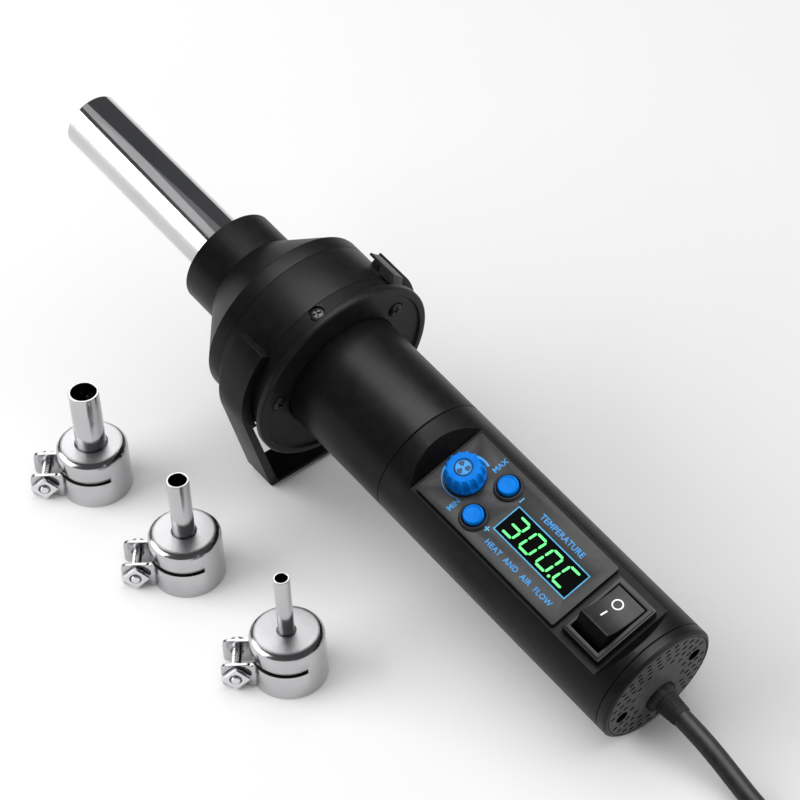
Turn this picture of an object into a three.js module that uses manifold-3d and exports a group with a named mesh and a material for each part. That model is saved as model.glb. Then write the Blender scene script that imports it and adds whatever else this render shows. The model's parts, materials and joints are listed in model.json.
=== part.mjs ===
// Hand-held hot air gun with a control panel in its handle, and three clamp-on nozzles.
//
// Millimetres, +Z up. The gun lies on a table, resting on the foot of its stand ring and on the
// rim of its end cap, with the nozzle end raised and pointing to -X. The three nozzles stand
// beside it, towards -Y. The origin is on the table at the middle of the footprint, cord apart.
//
// Three frames are used:
//   gun frame     x runs along the gun from the face of the end cap to the tip, z points up from
//                 the stand's foot, and y is to the side
//   handle frame  the gun frame rolled about x until z is square to the control panel
//   nozzle frame  z is the nozzle's axis, x points along its clamp ears

import * as THREE from 'three';
import { mergeVertices } from 'three/addons/utils/BufferGeometryUtils.js';
import Module from 'manifold-3d';

const wasm = await Module();
wasm.setup();

// ---------------------------------------------------------------- driving dimensions

const GAP = 0.3;                       // clearance between touching pieces
const ROUND = 40;                      // facets of a large circle
const SMALL_ROUND = 16;                // facets of a small circle

// stations along the gun, from the end cap's face
const CAP_END = 3.4;                   // seam between end cap and handle
const HANDLE_SEAM = 94.3;              // seam between the two handle barrels
const FLANGE_REAR = 132.3;             // rear face of the flange
const RIM_END = 135.3;                 // front edge of the flange's rim
const FLANGE_END = 139.7;              // front end of the flange's sleeve
const RING_START = 140;
const RING_END = 154.3;
const CONE_START = 154.6;
const CONE_EDGE = 159.2;               // where the cone begins to narrow
const COLLAR_START = 173.5;
const COLLAR_END = 186;
const TIP = 253.5;

// radii
const HANDLE_R = 19.05;
const HANDLE_WALL = 1.8;
const PIPE_R = 9;
const PIPE_WALL = 0.7;
const COLLAR_R = 15.7;
const HEAD_R = 28.05;
const RIM_R = 30.4;
const HEAD_WALL = 1.9;

// head details
const INTAKES = [140, 180, 220];       // degrees round from the panel, middle of each intake slot
const INTAKE_HALF = 17;                // degrees, half the width of one intake slot
const FLANGE_PLATE = 2;
const FLANGE_SCREW_R = 23.2;
const FLANGE_SCREWS = [-68, 68, 180];  // degrees round from the panel
const SIDE_SCREW_X = 137.5;
const FAN_START = FLANGE_REAR + 6.5;
const FAN_END = 158;

// stand foot
const FOOT_START = 139.1;
const FOOT_END = 149.7;
const FOOT_R = 31.8;                   // outside of the arms that hug the ring
const FOOT_DEPTH = 47.5;               // axis to the rear edge of the foot's sole
const FOOT_HALF = 17.7;                // half the sole's width
const FOOT_WALL = 2.2;
const FOOT_CORNER = 3;
const ARM_ANGLE = 54;                  // degrees from straight up where each arm ends
const SOLE_LAND = 5;                   // length of the part of the sole that lies on the table

// the gun lies on its foot and on the cap's rim, so the axis rises towards the tip
const CAP_BEVEL = 0.8;
const RISE = Math.atan((FOOT_DEPTH - HANDLE_R) / (FOOT_START - CAP_BEVEL));
const ROLL = THREE.MathUtils.degToRad(-17.2);
const TAIL = { x: 121.4, y: 23.5 };    // middle of the end cap's face, seen from above

// control panel, in the handle frame
const FLOOR_Z = 13.8;                  // floor of the recess in the handle
const RECESS = { start: 9.2, end: 84.5, lean: 0.75 };   // lean: run of the end ramps per unit of rise
const PANEL = { start: 26.8, end: 83.3, half: 12, bottom: 14.1, top: 14.9 };
const KNOB = { x: 76, r: 5.8, bottom: 15.3, top: 21.2 };
const BUTTON = { x: 65.4, y: 6.3, r: 3.2, top: 17.1, bezel: 4.3, bezelTop: 16 };
const DISPLAY = { start: 30.6, end: 59, half: 4.5 };
const SWITCH = { start: 10.4, end: 24.9, half: 10.5, top: 16.2, wall: 1.7 };
const ROCKER = { pivot: 12.5, half: 6.9, rise: 6.2, foot: 8.4, drop: 4, tilt: 17.4 };

// ends of the handle
const CAP_SCREW_Y = 13;
const PAD_FLAT = { start: 12, end: 32, depth: 12.8 };
const PAD = { x: 22, y: 7, r: 6.4, thick: 1 };

// cord
const CORD_D = 5.6;
const GLAND_Z = -6.5;                  // height of the gland below the handle's axis
const GLAND_OUT = 8;                   // length of the strain relief outside the cap

const COIL = { x: 219.4, y: -15.9, inner: 22.2, outer: 39.6, height: 11.4 };
const PLUG = { x: 170.6, y: -59.3, z: 6.9, length: 36, half: 17, thick: 13.6, nose: 10, tail: 10 };
const CORD_ROUTE = [
  [128.6, 25.4, 10.7], [135.9, 25.3, 9.1], [143.4, 24.7, 7.3], [150.4, 23.9, 5.5], [157.4, 23, 4],
  [164.4, 22.2, 3.2], [171.4, 21.6, 3], [178.4, 21.2, 3], [185.4, 21, 3], [192.4, 20.9, 3],
  [197.4, 20.8, 3],
];

// nozzles
const CUP = { r: 10.6, wall: 1.2, height: 16.6, slotLow: 8.6, slotHigh: 9.9, round: 1.6 };
const NOZZLES = [
  { name: 'large', bore: 3.85, r: 4.5, height: 36.5, x: -61, y: -31.6 },
  { name: 'medium', bore: 2.65, r: 3.25, height: 36.5, x: -13, y: -33.6 },
  { name: 'small', bore: 1.75, r: 2.3, height: 37, x: 37, y: -36.1 },
];
const EAR = { y: 4.6, thick: 1, root: 8.9, tip: 18.6 };
const CLAMP = { x: 14.6, z: 4.4 };     // axis of the clamp screw
const NOZZLE_TURN = THREE.MathUtils.degToRad(229.9);

// ---------------------------------------------------------------- colours

const material = (color, roughness, metalness = 0) =>
  new THREE.MeshStandardMaterial({ color, roughness, metalness });
const BLACK = material(0x141414, 0.5);
const PANEL_GREY = material(0x3a3b3d, 0.55);
const BLUE = material(0x1666d8, 0.4);
const GLOSS_BLACK = material(0x08090a, 0.2);
const DISPLAY_GREEN = material(0x0a1f10, 0.15);
const STEEL = material(0xcfd2d6, 0.15, 1);
const DARK_STEEL = material(0x2a2b2d, 0.4, 0.8);
const CERAMIC = material(0xe6e0d2, 0.7);
const NICHROME = material(0x8c8478, 0.4, 1);
const MICA = material(0xb9a27a, 0.5);
const BOARD = material(0x1f5a34, 0.6);
const ALUMINIUM = material(0xb4b8bc, 0.4, 0.9);
const BRASS = material(0xc9a24a, 0.3, 1);
const RUBBER = material(0x17181a, 0.75);

// ---------------------------------------------------------------- solids

// A closed mesh with shared vertices and its faces pointing out, as a solid to cut and join.
function solid(geometry) {
  geometry.deleteAttribute('normal');
  geometry.deleteAttribute('uv');
  const welded = mergeVertices(geometry, 1e-4);
  const p = welded.attributes.position.array;
  const corners = [];
  let volume = 0;
  for (let i = 0; i < welded.index.count; i += 3) {
    const [a, b, c] = [0, 1, 2].map((k) => welded.index.getX(i + k));
    if (a === b || b === c || c === a) continue;
    corners.push(a, b, c);
    const [u, v, w] = [a, b, c].map((k) => new THREE.Vector3(...p.slice(3 * k, 3 * k + 3)));
    volume += u.dot(v.cross(w));
  }
  if (volume < 0) corners.reverse();
  return new wasm.Manifold(new wasm.Mesh({
    numProp: 3,
    vertProperties: new Float32Array(p),
    triVerts: new Uint32Array(corners),
  }));
}

const join = (first, ...rest) => rest.reduce((whole, piece) => whole.add(piece), first);
const cut = (first, ...rest) => rest.reduce((whole, piece) => whole.subtract(piece), first);

// Box between two corners.
function box(x0, x1, y0, y1, z0, z1) {
  const geometry = new THREE.BoxGeometry(x1 - x0, y1 - y0, z1 - z0);
  return solid(geometry.translate((x0 + x1) / 2, (y0 + y1) / 2, (z0 + z1) / 2));
}

// Turned solid about x, from a closed list of [station, radius] corners.
function turnedX(profile, facets = ROUND) {
  const points = [...profile, profile[0]].map(([x, r]) => new THREE.Vector2(r, x));
  return solid(new THREE.LatheGeometry(points, facets).rotateZ(-Math.PI / 2));
}

// Turned solid about z, from a closed list of [height, radius] corners.
function turnedZ(profile, facets = ROUND) {
  const points = [...profile, profile[0]].map(([z, r]) => new THREE.Vector2(r, z));
  return solid(new THREE.LatheGeometry(points, facets).rotateX(Math.PI / 2));
}

const rodX = (x0, x1, r, y = 0, z = 0, facets = SMALL_ROUND) =>
  solid(new THREE.CylinderGeometry(r, r, x1 - x0, facets)
    .rotateZ(-Math.PI / 2).translate((x0 + x1) / 2, y, z));
const rodY = (y0, y1, r, x, z, facets = SMALL_ROUND) =>
  solid(new THREE.CylinderGeometry(r, r, y1 - y0, facets).translate(x, (y0 + y1) / 2, z));
const rodZ = (z0, z1, r, x = 0, y = 0, facets = SMALL_ROUND) =>
  solid(new THREE.CylinderGeometry(r, r, z1 - z0, facets)
    .rotateX(Math.PI / 2).translate(x, y, (z0 + z1) / 2));

// Outline in the y-z plane, extruded along x.
function extrudedX(shape, x0, x1, curveSegments = 24) {
  const geometry = new THREE.ExtrudeGeometry(shape, { depth: x1 - x0, bevelEnabled: false, curveSegments });
  const toYZ = new THREE.Matrix4().makeBasis(
    new THREE.Vector3(0, 1, 0), new THREE.Vector3(0, 0, 1), new THREE.Vector3(1, 0, 0));
  return solid(geometry.applyMatrix4(toYZ).translate(x0, 0, 0));
}

// Outline in the x-y plane, extruded along z.
function extrudedZ(shape, z0, z1, curveSegments = 8) {
  const geometry = new THREE.ExtrudeGeometry(shape, { depth: z1 - z0, bevelEnabled: false, curveSegments });
  return solid(geometry.translate(0, 0, z0));
}

// Outline in the x-z plane, extruded along y to both sides of the middle.
function extrudedY(shape, half) {
  const geometry = new THREE.ExtrudeGeometry(shape, { depth: 2 * half, bevelEnabled: false });
  return solid(geometry.rotateX(Math.PI / 2).translate(0, half, 0));
}

// The same solid turned about x.
function turnAboutX(piece, angle) {
  const m = new THREE.Matrix4().makeRotationX(angle);
  return piece.transform(m.toArray());
}

// A node: the solid as a named mesh.
function node(group, name, piece, look) {
  const mesh = piece.getMesh();
  const geometry = new THREE.BufferGeometry();
  geometry.setAttribute('position', new THREE.BufferAttribute(mesh.vertProperties, mesh.numProp));
  geometry.setIndex(new THREE.BufferAttribute(mesh.triVerts, 1));
  geometry.computeVertexNormals();
  const made = new THREE.Mesh(geometry, look);
  made.name = name;
  group.add(made);
  return made;
}

const polar = (r, degrees) => {
  const angle = THREE.MathUtils.degToRad(degrees);
  return [r * Math.sin(angle), r * Math.cos(angle)];
};

// Countersunk or cheese head screw pointing along +x, its head's face at x0.
function screwX(x0, headR, headDepth, shankR, length, y, z) {
  const slotWidth = headR * 0.3;
  const slotHalf = headR * 0.6;
  const slotDepth = headDepth * 0.5;
  return cut(
    join(rodX(x0, x0 + headDepth, headR, y, z, 16),
      rodX(x0 + headDepth / 2, x0 + length, shankR, y, z, 10)),
    box(x0 - 1, x0 + slotDepth, y - slotHalf, y + slotHalf, z - slotWidth / 2, z + slotWidth / 2),
    box(x0 - 1, x0 + slotDepth, y - slotWidth / 2, y + slotWidth / 2, z - slotHalf, z + slotHalf),
  );
}

// ---------------------------------------------------------------- groups

const assembly = new THREE.Group();
const gun = new THREE.Group();
gun.rotation.set(0, RISE, Math.PI, 'XYZ');
const TAIL_HEIGHT = HANDLE_R * Math.cos(RISE) - CAP_BEVEL * Math.sin(RISE);
gun.position.set(TAIL.x, TAIL.y, TAIL_HEIGHT);
assembly.add(gun);
const handle = new THREE.Group();
handle.rotation.x = ROLL;
gun.add(handle);

// ---------------------------------------------------------------- head

function makeAirPipe() {
  node(handle, 'air_pipe', turnedX([
    [160, PIPE_R], [TIP, PIPE_R], [TIP, PIPE_R - PIPE_WALL], [160, PIPE_R - PIPE_WALL],
  ], 36), STEEL);
}

function makeFrontCone() {
  const inner = HEAD_R - HEAD_WALL;
  const collarInner = PIPE_R + GAP;
  const shell = turnedX([
    [CONE_START, HEAD_R], [CONE_EDGE, HEAD_R], [COLLAR_START, COLLAR_R], [COLLAR_END - 0.6, COLLAR_R],
    [COLLAR_END, COLLAR_R - 0.6], [COLLAR_END, collarInner], [COLLAR_START - 1, collarInner],
    [CONE_EDGE - 0.5, inner], [CONE_START, inner],
  ]);
  // air intakes: a slot in the rim over the back of the head, in three lengths between ribs
  const slots = INTAKES.map((middle) => intakeSlot(CONE_START - 1, CONE_START + 2.4, middle));
  node(handle, 'front_cone', cut(shell, ...slots), BLACK);
}

// Sector of the head's wall for an air intake.
function intakeSlot(x0, x1, middle) {
  const half = INTAKE_HALF;
  const outer = HEAD_R + 4;
  const shape = new THREE.Shape([
    new THREE.Vector2(...polar(HEAD_R - 5, middle - half)),
    new THREE.Vector2(...polar(outer, middle - half)),
    new THREE.Vector2(...polar(outer * 1.04, middle)),
    new THREE.Vector2(...polar(outer, middle + half)),
    new THREE.Vector2(...polar(HEAD_R - 5, middle + half)),
  ]);
  return extrudedX(shape, x0, x1);
}

function makeFlange() {
  const inner = HEAD_R - HEAD_WALL;
  const bore = HANDLE_R + GAP;
  const holes = FLANGE_SCREWS.map((angle) => {
    const [y, z] = polar(FLANGE_SCREW_R, angle);
    return rodX(FLANGE_REAR - 1, FLANGE_REAR + 4, 1.7, y, z, 12);
  });
  const heads = FLANGE_SCREWS.map((angle) => {
    const [y, z] = polar(FLANGE_SCREW_R, angle);
    return rodX(FLANGE_REAR - 1, FLANGE_REAR + 1.1, 2.6, y, z, 16);
  });
  const slots = INTAKES.map((middle) => intakeSlot(FLANGE_END - 2.2, FLANGE_END + 1, middle));
  const shell = turnedX([
    [FLANGE_REAR, RIM_R], [RIM_END - 0.7, RIM_R - 0.4], [RIM_END, HEAD_R], [FLANGE_END, HEAD_R],
    [FLANGE_END, inner], [FLANGE_REAR + FLANGE_PLATE, inner], [FLANGE_REAR + FLANGE_PLATE, bore],
    [FLANGE_REAR, bore],
  ]);
  const side = rodZ(HEAD_R - 5, HEAD_R + 5, 1.5, SIDE_SCREW_X, 0, 12);
  const sideHead = rodZ(HEAD_R - 1, HEAD_R + 5, 2.5, SIDE_SCREW_X, 0, 16);
  node(handle, 'rear_flange', cut(shell, ...holes, ...heads, ...slots, side, sideHead), BLACK);
}

function makeFlangeScrews() {
  FLANGE_SCREWS.forEach((angle, i) => {
    const [y, z] = polar(FLANGE_SCREW_R, angle);
    node(handle, `flange_screw_${i + 1}`, screwX(FLANGE_REAR + 0.1, 2.25, 0.9, 1.3, 6, y, z), DARK_STEEL);
  });
  const top = HEAD_R + 0.15;
  node(handle, 'flange_side_screw', cut(
    join(rodZ(top - 1.1, top, 2.15, SIDE_SCREW_X, 0, 16),
      rodZ(top - 3.2, top - 0.5, 1.15, SIDE_SCREW_X, 0, 10)),
    box(SIDE_SCREW_X - 1.3, SIDE_SCREW_X + 1.3, -0.35, 0.35, top - 0.5, top + 1),
    box(SIDE_SCREW_X - 0.35, SIDE_SCREW_X + 0.35, -1.3, 1.3, top - 0.5, top + 1),
  ), DARK_STEEL);
}

// ---------------------------------------------------------------- stand ring

// Outline of the foot: an arc round the ring, straight sides that close in, and a flat sole.
function footOutline(radius, half, depth, corner) {
  const reach = Math.hypot(half, depth);
  const toCorner = Math.atan2(half, depth);
  const tangent = Math.PI - toCorner - Math.acos(radius / reach);
  const shape = new THREE.Shape();
  const steps = 10;
  const first = THREE.MathUtils.degToRad(ARM_ANGLE);
  const side = (sign) => Array.from({ length: steps + 1 }, (_, i) => {
    const angle = first + (tangent - first) * (i / steps);
    return [sign * radius * Math.sin(angle), radius * Math.cos(angle)];
  });
  const right = side(1);
  const left = side(-1).reverse();
  const last = right[steps];
  const run = Math.hypot(half - last[0], -depth - last[1]);
  const back = [(last[0] - half) / run, (last[1] + depth) / run];
  shape.moveTo(0, 0);
  right.forEach(([y, z]) => shape.lineTo(y, z));
  shape.lineTo(half + back[0] * corner, -depth + back[1] * corner);
  shape.quadraticCurveTo(half, -depth, half - corner, -depth);
  shape.lineTo(-half + corner, -depth);
  shape.quadraticCurveTo(-half, -depth, -half - back[0] * corner, -depth + back[1] * corner);
  left.forEach(([y, z]) => shape.lineTo(y, z));
  shape.closePath();
  return shape;
}

function makeStandRing() {
  const inner = HEAD_R - HEAD_WALL;
  const ring = turnedX([
    [RING_START, HEAD_R], [RING_END, HEAD_R], [RING_END, inner], [RING_START, inner],
  ]);
  const drop = SOLE_LAND * Math.tan(RISE);
  const depth = FOOT_DEPTH + drop;
  const outline = footOutline(FOOT_R, FOOT_HALF, depth, FOOT_CORNER);
  const hollow = footOutline(FOOT_R - FOOT_WALL, FOOT_HALF - FOOT_WALL, depth - FOOT_WALL, 1);
  const pocket = extrudedX(hollow, FOOT_START - 1, FOOT_END + 1, 4).subtract(
    box(0, 300, -60, 60, -HEAD_R * 0.45, 60));
  const arms = extrudedX(outline, FOOT_START, FOOT_END, 4);
  const sweep = new THREE.Matrix4().makeRotationY(RISE).setPosition(FOOT_START, 0, -FOOT_DEPTH);
  const sole = box(-20, 30, -40, 40, -20, 0).transform(sweep.toArray());
  const foot = cut(arms, pocket, rodX(FOOT_START - 1, RING_START + 0.6, HEAD_R + 0.4, 0, 0, ROUND),
    rodX(RING_START, FOOT_END + 1, HEAD_R - 0.6, 0, 0, ROUND), sole);
  node(gun, 'stand_ring', ring.add(foot), BLACK);
}

// Flat hanging strip over the ring, on a wedge at its rear end.
function makeClip() {
  const half = 2.6;
  const shape = new THREE.Shape([
    new THREE.Vector2(135.7, HEAD_R + 0.4), new THREE.Vector2(143, HEAD_R + 0.4),
    new THREE.Vector2(143.6, HEAD_R + 2.2), new THREE.Vector2(148, HEAD_R + 2.2),
    new THREE.Vector2(148, HEAD_R + 3.2), new THREE.Vector2(137, HEAD_R + 3.2),
  ]);
  node(gun, 'hanging_clip', turnAboutX(extrudedY(shape, half), THREE.MathUtils.degToRad(45)), BLACK);
}

// ---------------------------------------------------------------- handle

function makeBarrels() {
  const inner = HANDLE_R - HANDLE_WALL;
  node(handle, 'front_barrel', turnedX([
    [HANDLE_SEAM + GAP / 2, HANDLE_R - 0.25], [HANDLE_SEAM + 0.4, HANDLE_R], [FLANGE_REAR + 4, HANDLE_R],
    [FLANGE_REAR + 4, inner], [HANDLE_SEAM + GAP / 2, inner],
  ]), BLACK);
  const shell = turnedX([
    [CAP_END + GAP / 2, HANDLE_R - 0.25], [CAP_END + 0.4, HANDLE_R], [HANDLE_SEAM - 0.4, HANDLE_R],
    [HANDLE_SEAM - GAP / 2, HANDLE_R - 0.25], [HANDLE_SEAM - GAP / 2, 0], [CAP_END + GAP / 2, 0],
  ]);
  // the bore keeps a floor under the recess and a flat over the grip pads
  const bore = cut(rodX(0, 100, inner, 0, 0, ROUND),
    box(RECESS.start - 4.5, RECESS.end + 4.5, -20, 20, FLOOR_Z - 1.6, 20),
    box(PAD_FLAT.start - 2, PAD_FLAT.end + 2, -20, 20, -20, -PAD_FLAT.depth + 1.6));
  // the recess is a flat with a ramp at each end
  const above = 25;
  const run = (above - FLOOR_Z) * RECESS.lean;
  const recess = extrudedY(new THREE.Shape([
    new THREE.Vector2(RECESS.start, FLOOR_Z), new THREE.Vector2(RECESS.end, FLOOR_Z),
    new THREE.Vector2(RECESS.end + run, above), new THREE.Vector2(RECESS.start - run, above),
  ]), HANDLE_R + 1);
  node(handle, 'rear_barrel', cut(shell, bore, recess,
    box(PAD_FLAT.start, PAD_FLAT.end, -20, 20, -25, -PAD_FLAT.depth),
    box(PANEL.start + 2.2, PANEL.end - 2, -9.5, 9.5, 5, 20),
    box(SWITCH.start + 1, SWITCH.end - 1, -9.3, 9.3, 5, 20),
  ), BLACK);
}

function makePads() {
  [-1, 1].forEach((side, i) => {
    const seat = -PAD_FLAT.depth - GAP;
    node(handle, `grip_pad_${i + 1}`, rodZ(seat - PAD.thick, seat, PAD.r, PAD.x, side * PAD.y, 24), RUBBER);
  });
}

function makePanel() {
  const outline = box(PANEL.start, PANEL.end, -PANEL.half, PANEL.half, PANEL.bottom, PANEL.top);
  const buttonHoles = [-1, 1].map((side) =>
    rodZ(10, 20, BUTTON.r + 0.35, BUTTON.x, side * BUTTON.y));
  const rims = [-1, 1].map((side) =>
    rodZ(PANEL.top - 0.4, BUTTON.bezelTop, BUTTON.bezel, BUTTON.x, side * BUTTON.y, 24));
  node(handle, 'control_panel', cut(join(outline, ...rims),
    rodZ(10, 20, 3.5, KNOB.x, 0),
    box(DISPLAY.start, DISPLAY.end, -DISPLAY.half, DISPLAY.half, 10, 20),
    ...buttonHoles,
  ), PANEL_GREY);
  node(handle, 'display_window', box(DISPLAY.start + GAP, DISPLAY.end - GAP,
    -DISPLAY.half + GAP, DISPLAY.half - GAP, PANEL.bottom - 0.4, PANEL.top - 0.1), DISPLAY_GREEN);
  node(handle, 'display_block', box(DISPLAY.start + 0.8, DISPLAY.end - 0.8,
    -DISPLAY.half + 0.8, DISPLAY.half - 0.8, 10, PANEL.bottom - 0.7), GLOSS_BLACK);
}

// Knob with grip ribs, and the potentiometer whose shaft it turns.
function makeKnob() {
  const ribs = 16;
  const shape = new THREE.Shape();
  for (let i = 0; i < ribs * 2; i += 1) {
    const r = i % 2 ? KNOB.r : KNOB.r - 0.6;
    const [x, y] = polar(r, (i * 180) / ribs);
    if (i === 0) shape.moveTo(KNOB.x + x, y);
    else shape.lineTo(KNOB.x + x, y);
  }
  shape.closePath();
  const body = extrudedZ(shape, KNOB.bottom, KNOB.top - 0.6);
  const top = rodZ(KNOB.top - 1.6, KNOB.top, KNOB.r - 1.1, KNOB.x, 0, 24);
  node(handle, 'airflow_knob', cut(join(body, top),
    rodZ(KNOB.bottom - 1, KNOB.top - 2, 2.2, KNOB.x, 0, 12)), BLUE);
  node(handle, 'potentiometer_shaft', rodZ(12.6, KNOB.top - 2.3, 1.9, KNOB.x, 0, 12), ALUMINIUM);
  node(handle, 'potentiometer', cut(box(KNOB.x - 4.6, KNOB.x + 4.6, -4.6, 4.6, 10, 13.6),
    rodZ(12.2, 15, 2.2, KNOB.x, 0, 12)), ALUMINIUM);
}

function makeButtons() {
  [['plus', 1], ['minus', -1]].forEach(([name, side]) => {
    const y = side * BUTTON.y;
    node(handle, `${name}_button`, rodZ(12.9, BUTTON.top, BUTTON.r, BUTTON.x, y), BLUE);
    node(handle, `${name}_tact_switch`, box(BUTTON.x - 2.5, BUTTON.x + 2.5,
      y - 2.5, y + 2.5, 10, 11.8), GLOSS_BLACK);
  });
}

// Rocker switch: bezel frame, body behind it, and the rocker that tilts about x.
function makeSwitch() {
  const { start, end, half, top, wall } = SWITCH;
  node(handle, 'switch_frame', cut(
    join(box(start, end, -half, half, FLOOR_Z + GAP, top),
      box(start + 1.3, end - 1.3, -half + 1.5, half - 1.5, 2, FLOOR_Z + 1)),
    box(start + wall, end - wall, -half + wall, half - wall, 6, 20)), GLOSS_BLACK);
  // outline level about its pivot, then tipped so that the side towards +y stands up
  const { pivot, half: crest, rise, foot, drop, tilt } = ROCKER;
  const outline = new THREE.Shape();
  outline.moveTo(crest, rise);
  outline.quadraticCurveTo(0, rise - 1.6, -crest, rise);
  outline.lineTo(-foot, 0.3);
  outline.lineTo(-foot + 1.2, -drop);
  outline.lineTo(foot - 1.2, -drop);
  outline.lineTo(foot, 0.3);
  outline.closePath();
  const level = extrudedX(outline, start + wall + GAP, end - wall - GAP, 6);
  node(handle, 'switch_rocker', turnAboutX(level, THREE.MathUtils.degToRad(tilt)).translate([0, 0, pivot]),
    GLOSS_BLACK);
}

function makeEndCap() {
  const disc = turnedX([
    [0, 0], [0, HANDLE_R - CAP_BEVEL], [CAP_BEVEL, HANDLE_R], [CAP_END - 0.4, HANDLE_R],
    [CAP_END - GAP / 2, HANDLE_R - 0.25], [CAP_END - GAP / 2, 0],
  ]);
  // rings of small vent slots, left out round the screws and the gland
  const slots = [];
  [[16.6, 22], [13, 18], [9.2, 12]].forEach(([r, count]) => {
    for (let i = 0; i < count; i += 1) {
      const [y, z] = polar(r, ((i + 0.5) * 360) / count);
      const nearScrew = Math.hypot(Math.abs(y) - CAP_SCREW_Y, z) < 3.4;
      const nearGland = Math.hypot(y, z - GLAND_Z) < 5.6;
      if (!nearScrew && !nearGland) slots.push(box(-1, CAP_END + 1, y - 0.9, y + 0.9, z - 0.4, z + 0.4));
    }
  });
  const screwHoles = [-1, 1].map((side) => rodX(-1, 5, 1.9, side * CAP_SCREW_Y, 0, 12));
  node(handle, 'end_cap', cut(disc, ...slots, ...screwHoles,
    rodX(-1, 5, 4.9, 0, GLAND_Z, 24)), BLACK);
  [-1, 1].forEach((side, i) => {
    node(handle, `end_cap_screw_${i + 1}`,
      screwX(1.6, 1.6, 1, 1.1, 11, side * CAP_SCREW_Y, 0), DARK_STEEL);
  });
}

// Strain relief: a collar in the cap and a sleeve that tapers along the cord on both sides of it.
function makeGland() {
  const inside = 15;
  node(handle, 'cord_gland', turnedX([
    [inside, 0], [inside, 3.9], [CAP_END + 0.5, 4.2], [CAP_END, 4.6], [-0.6, 4.6], [-3, 4.5],
    [-GLAND_OUT, 3.7], [-GLAND_OUT, 0],
  ], 24).translate([0, 0, GLAND_Z]), RUBBER);
}

// ---------------------------------------------------------------- cord

// Tube along a smooth curve through the given points.
function tube(points, steps) {
  const path = new THREE.CatmullRomCurve3(points.map((p) => new THREE.Vector3(...p)), false, 'centripetal');
  const section = new THREE.Shape();
  section.absarc(0, 0, CORD_D / 2, 0, Math.PI * 2);
  return solid(new THREE.ExtrudeGeometry(section, {
    steps, extrudePath: path, bevelEnabled: false, curveSegments: 5,
  }));
}

// The lead from the gland runs along the table into a round coil, and out of it to the plug.
function makeCord() {
  const laid = CORD_D / 2 + 0.2;
  node(assembly, 'mains_cord', tube(CORD_ROUTE, 9), RUBBER);
  const { x, y, inner, outer, height } = COIL;
  node(assembly, 'cord_coil', turnedZ([
    [0, inner], [0, outer], [height, outer], [height, inner],
  ], 36).translate([x, y, 0]), RUBBER);
  const strap = 0.8;
  const near = inner - 0.8;
  node(assembly, 'coil_tie', cut(
    box(x - 4, x + 4, y + near - strap, y + outer + GAP + strap, 0, height + GAP + strap),
    box(x - 5, x + 5, y + near, y + outer + GAP, -1, height + GAP)), BLACK);
  node(assembly, 'plug_lead', tube([
    [x, y - outer - laid - GAP, laid], [x - 14, y - outer - laid - GAP, laid],
    [x - 28, y - outer - laid - 0.6, laid], [x - 38, y - outer - laid - 0.9, laid + 1.6],
    [PLUG.x + 1.3, PLUG.y, PLUG.z],
  ], 7), RUBBER);
}

// Flat two-pin plug lying on the table, its pins pointing to -X.
function makePlug() {
  const { x, y, z, length, half, thick, nose, tail } = PLUG;
  const outline = new THREE.Shape([
    [x, -2.2], [x, 2.2], [x - tail, 3.4], [x - tail - 5, half - 3], [x - length + nose, half],
    [x - length, half - 1], [x - length, -half + 1], [x - length + nose, -half],
    [x - tail - 5, -half + 3], [x - tail, -3.4],
  ].map(([u, v]) => new THREE.Vector2(u, v + y)));
  const body = extrudedZ(outline, z - thick / 2, z + thick / 2);
  const front = x - length;
  const bridge = 11.5;
  node(assembly, 'plug_body', cut(body,
    box(front - 1, front + 6, y - bridge - GAP, y + bridge + GAP, z - 3, z + 3)), RUBBER);
  node(assembly, 'plug_pins', join(
    box(front + 0.6, front + 5.6, y - bridge, y + bridge, z - 2.6, z + 2.6),
    ...[-1, 1].map((side) => rodX(front - 19, front + 2, 2, y + side * 9.3, z, 12))), BRASS);
}

// ---------------------------------------------------------------- inside the head

function makeHeater() {
  const arm = 0.9;
  const reach = 5.6;
  const cross = new THREE.Shape([
    [arm, arm], [reach, arm], [reach, -arm], [arm, -arm], [arm, -reach], [-arm, -reach],
    [-arm, -arm], [-reach, -arm], [-reach, arm], [-arm, arm], [-arm, reach], [arm, reach],
  ].map(([y, z]) => new THREE.Vector2(y, z)));
  node(handle, 'heater_core', extrudedX(cross, 176, 236), CERAMIC);
  class Helix extends THREE.Curve {
    getPoint(t, target = new THREE.Vector3()) {
      const turns = 7;
      const [y, z] = polar(6.35, 360 * turns * t);
      return target.set(180 + 52 * t, y, z);
    }
  }
  const wire = new THREE.Shape();
  wire.absarc(0, 0, 0.4, 0, Math.PI * 2);
  node(handle, 'heater_coil', solid(new THREE.ExtrudeGeometry(wire, {
    steps: 56, extrudePath: new Helix(), bevelEnabled: false, curveSegments: 3,
  })), NICHROME);
  node(handle, 'mica_tube', turnedX([[172, 7.8], [242, 7.8], [242, 7.2], [172, 7.2]], 24), MICA);
  node(handle, 'thermocouple', rodX(238, 249, 0.8, 0, 3, 8), STEEL);
}

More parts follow.
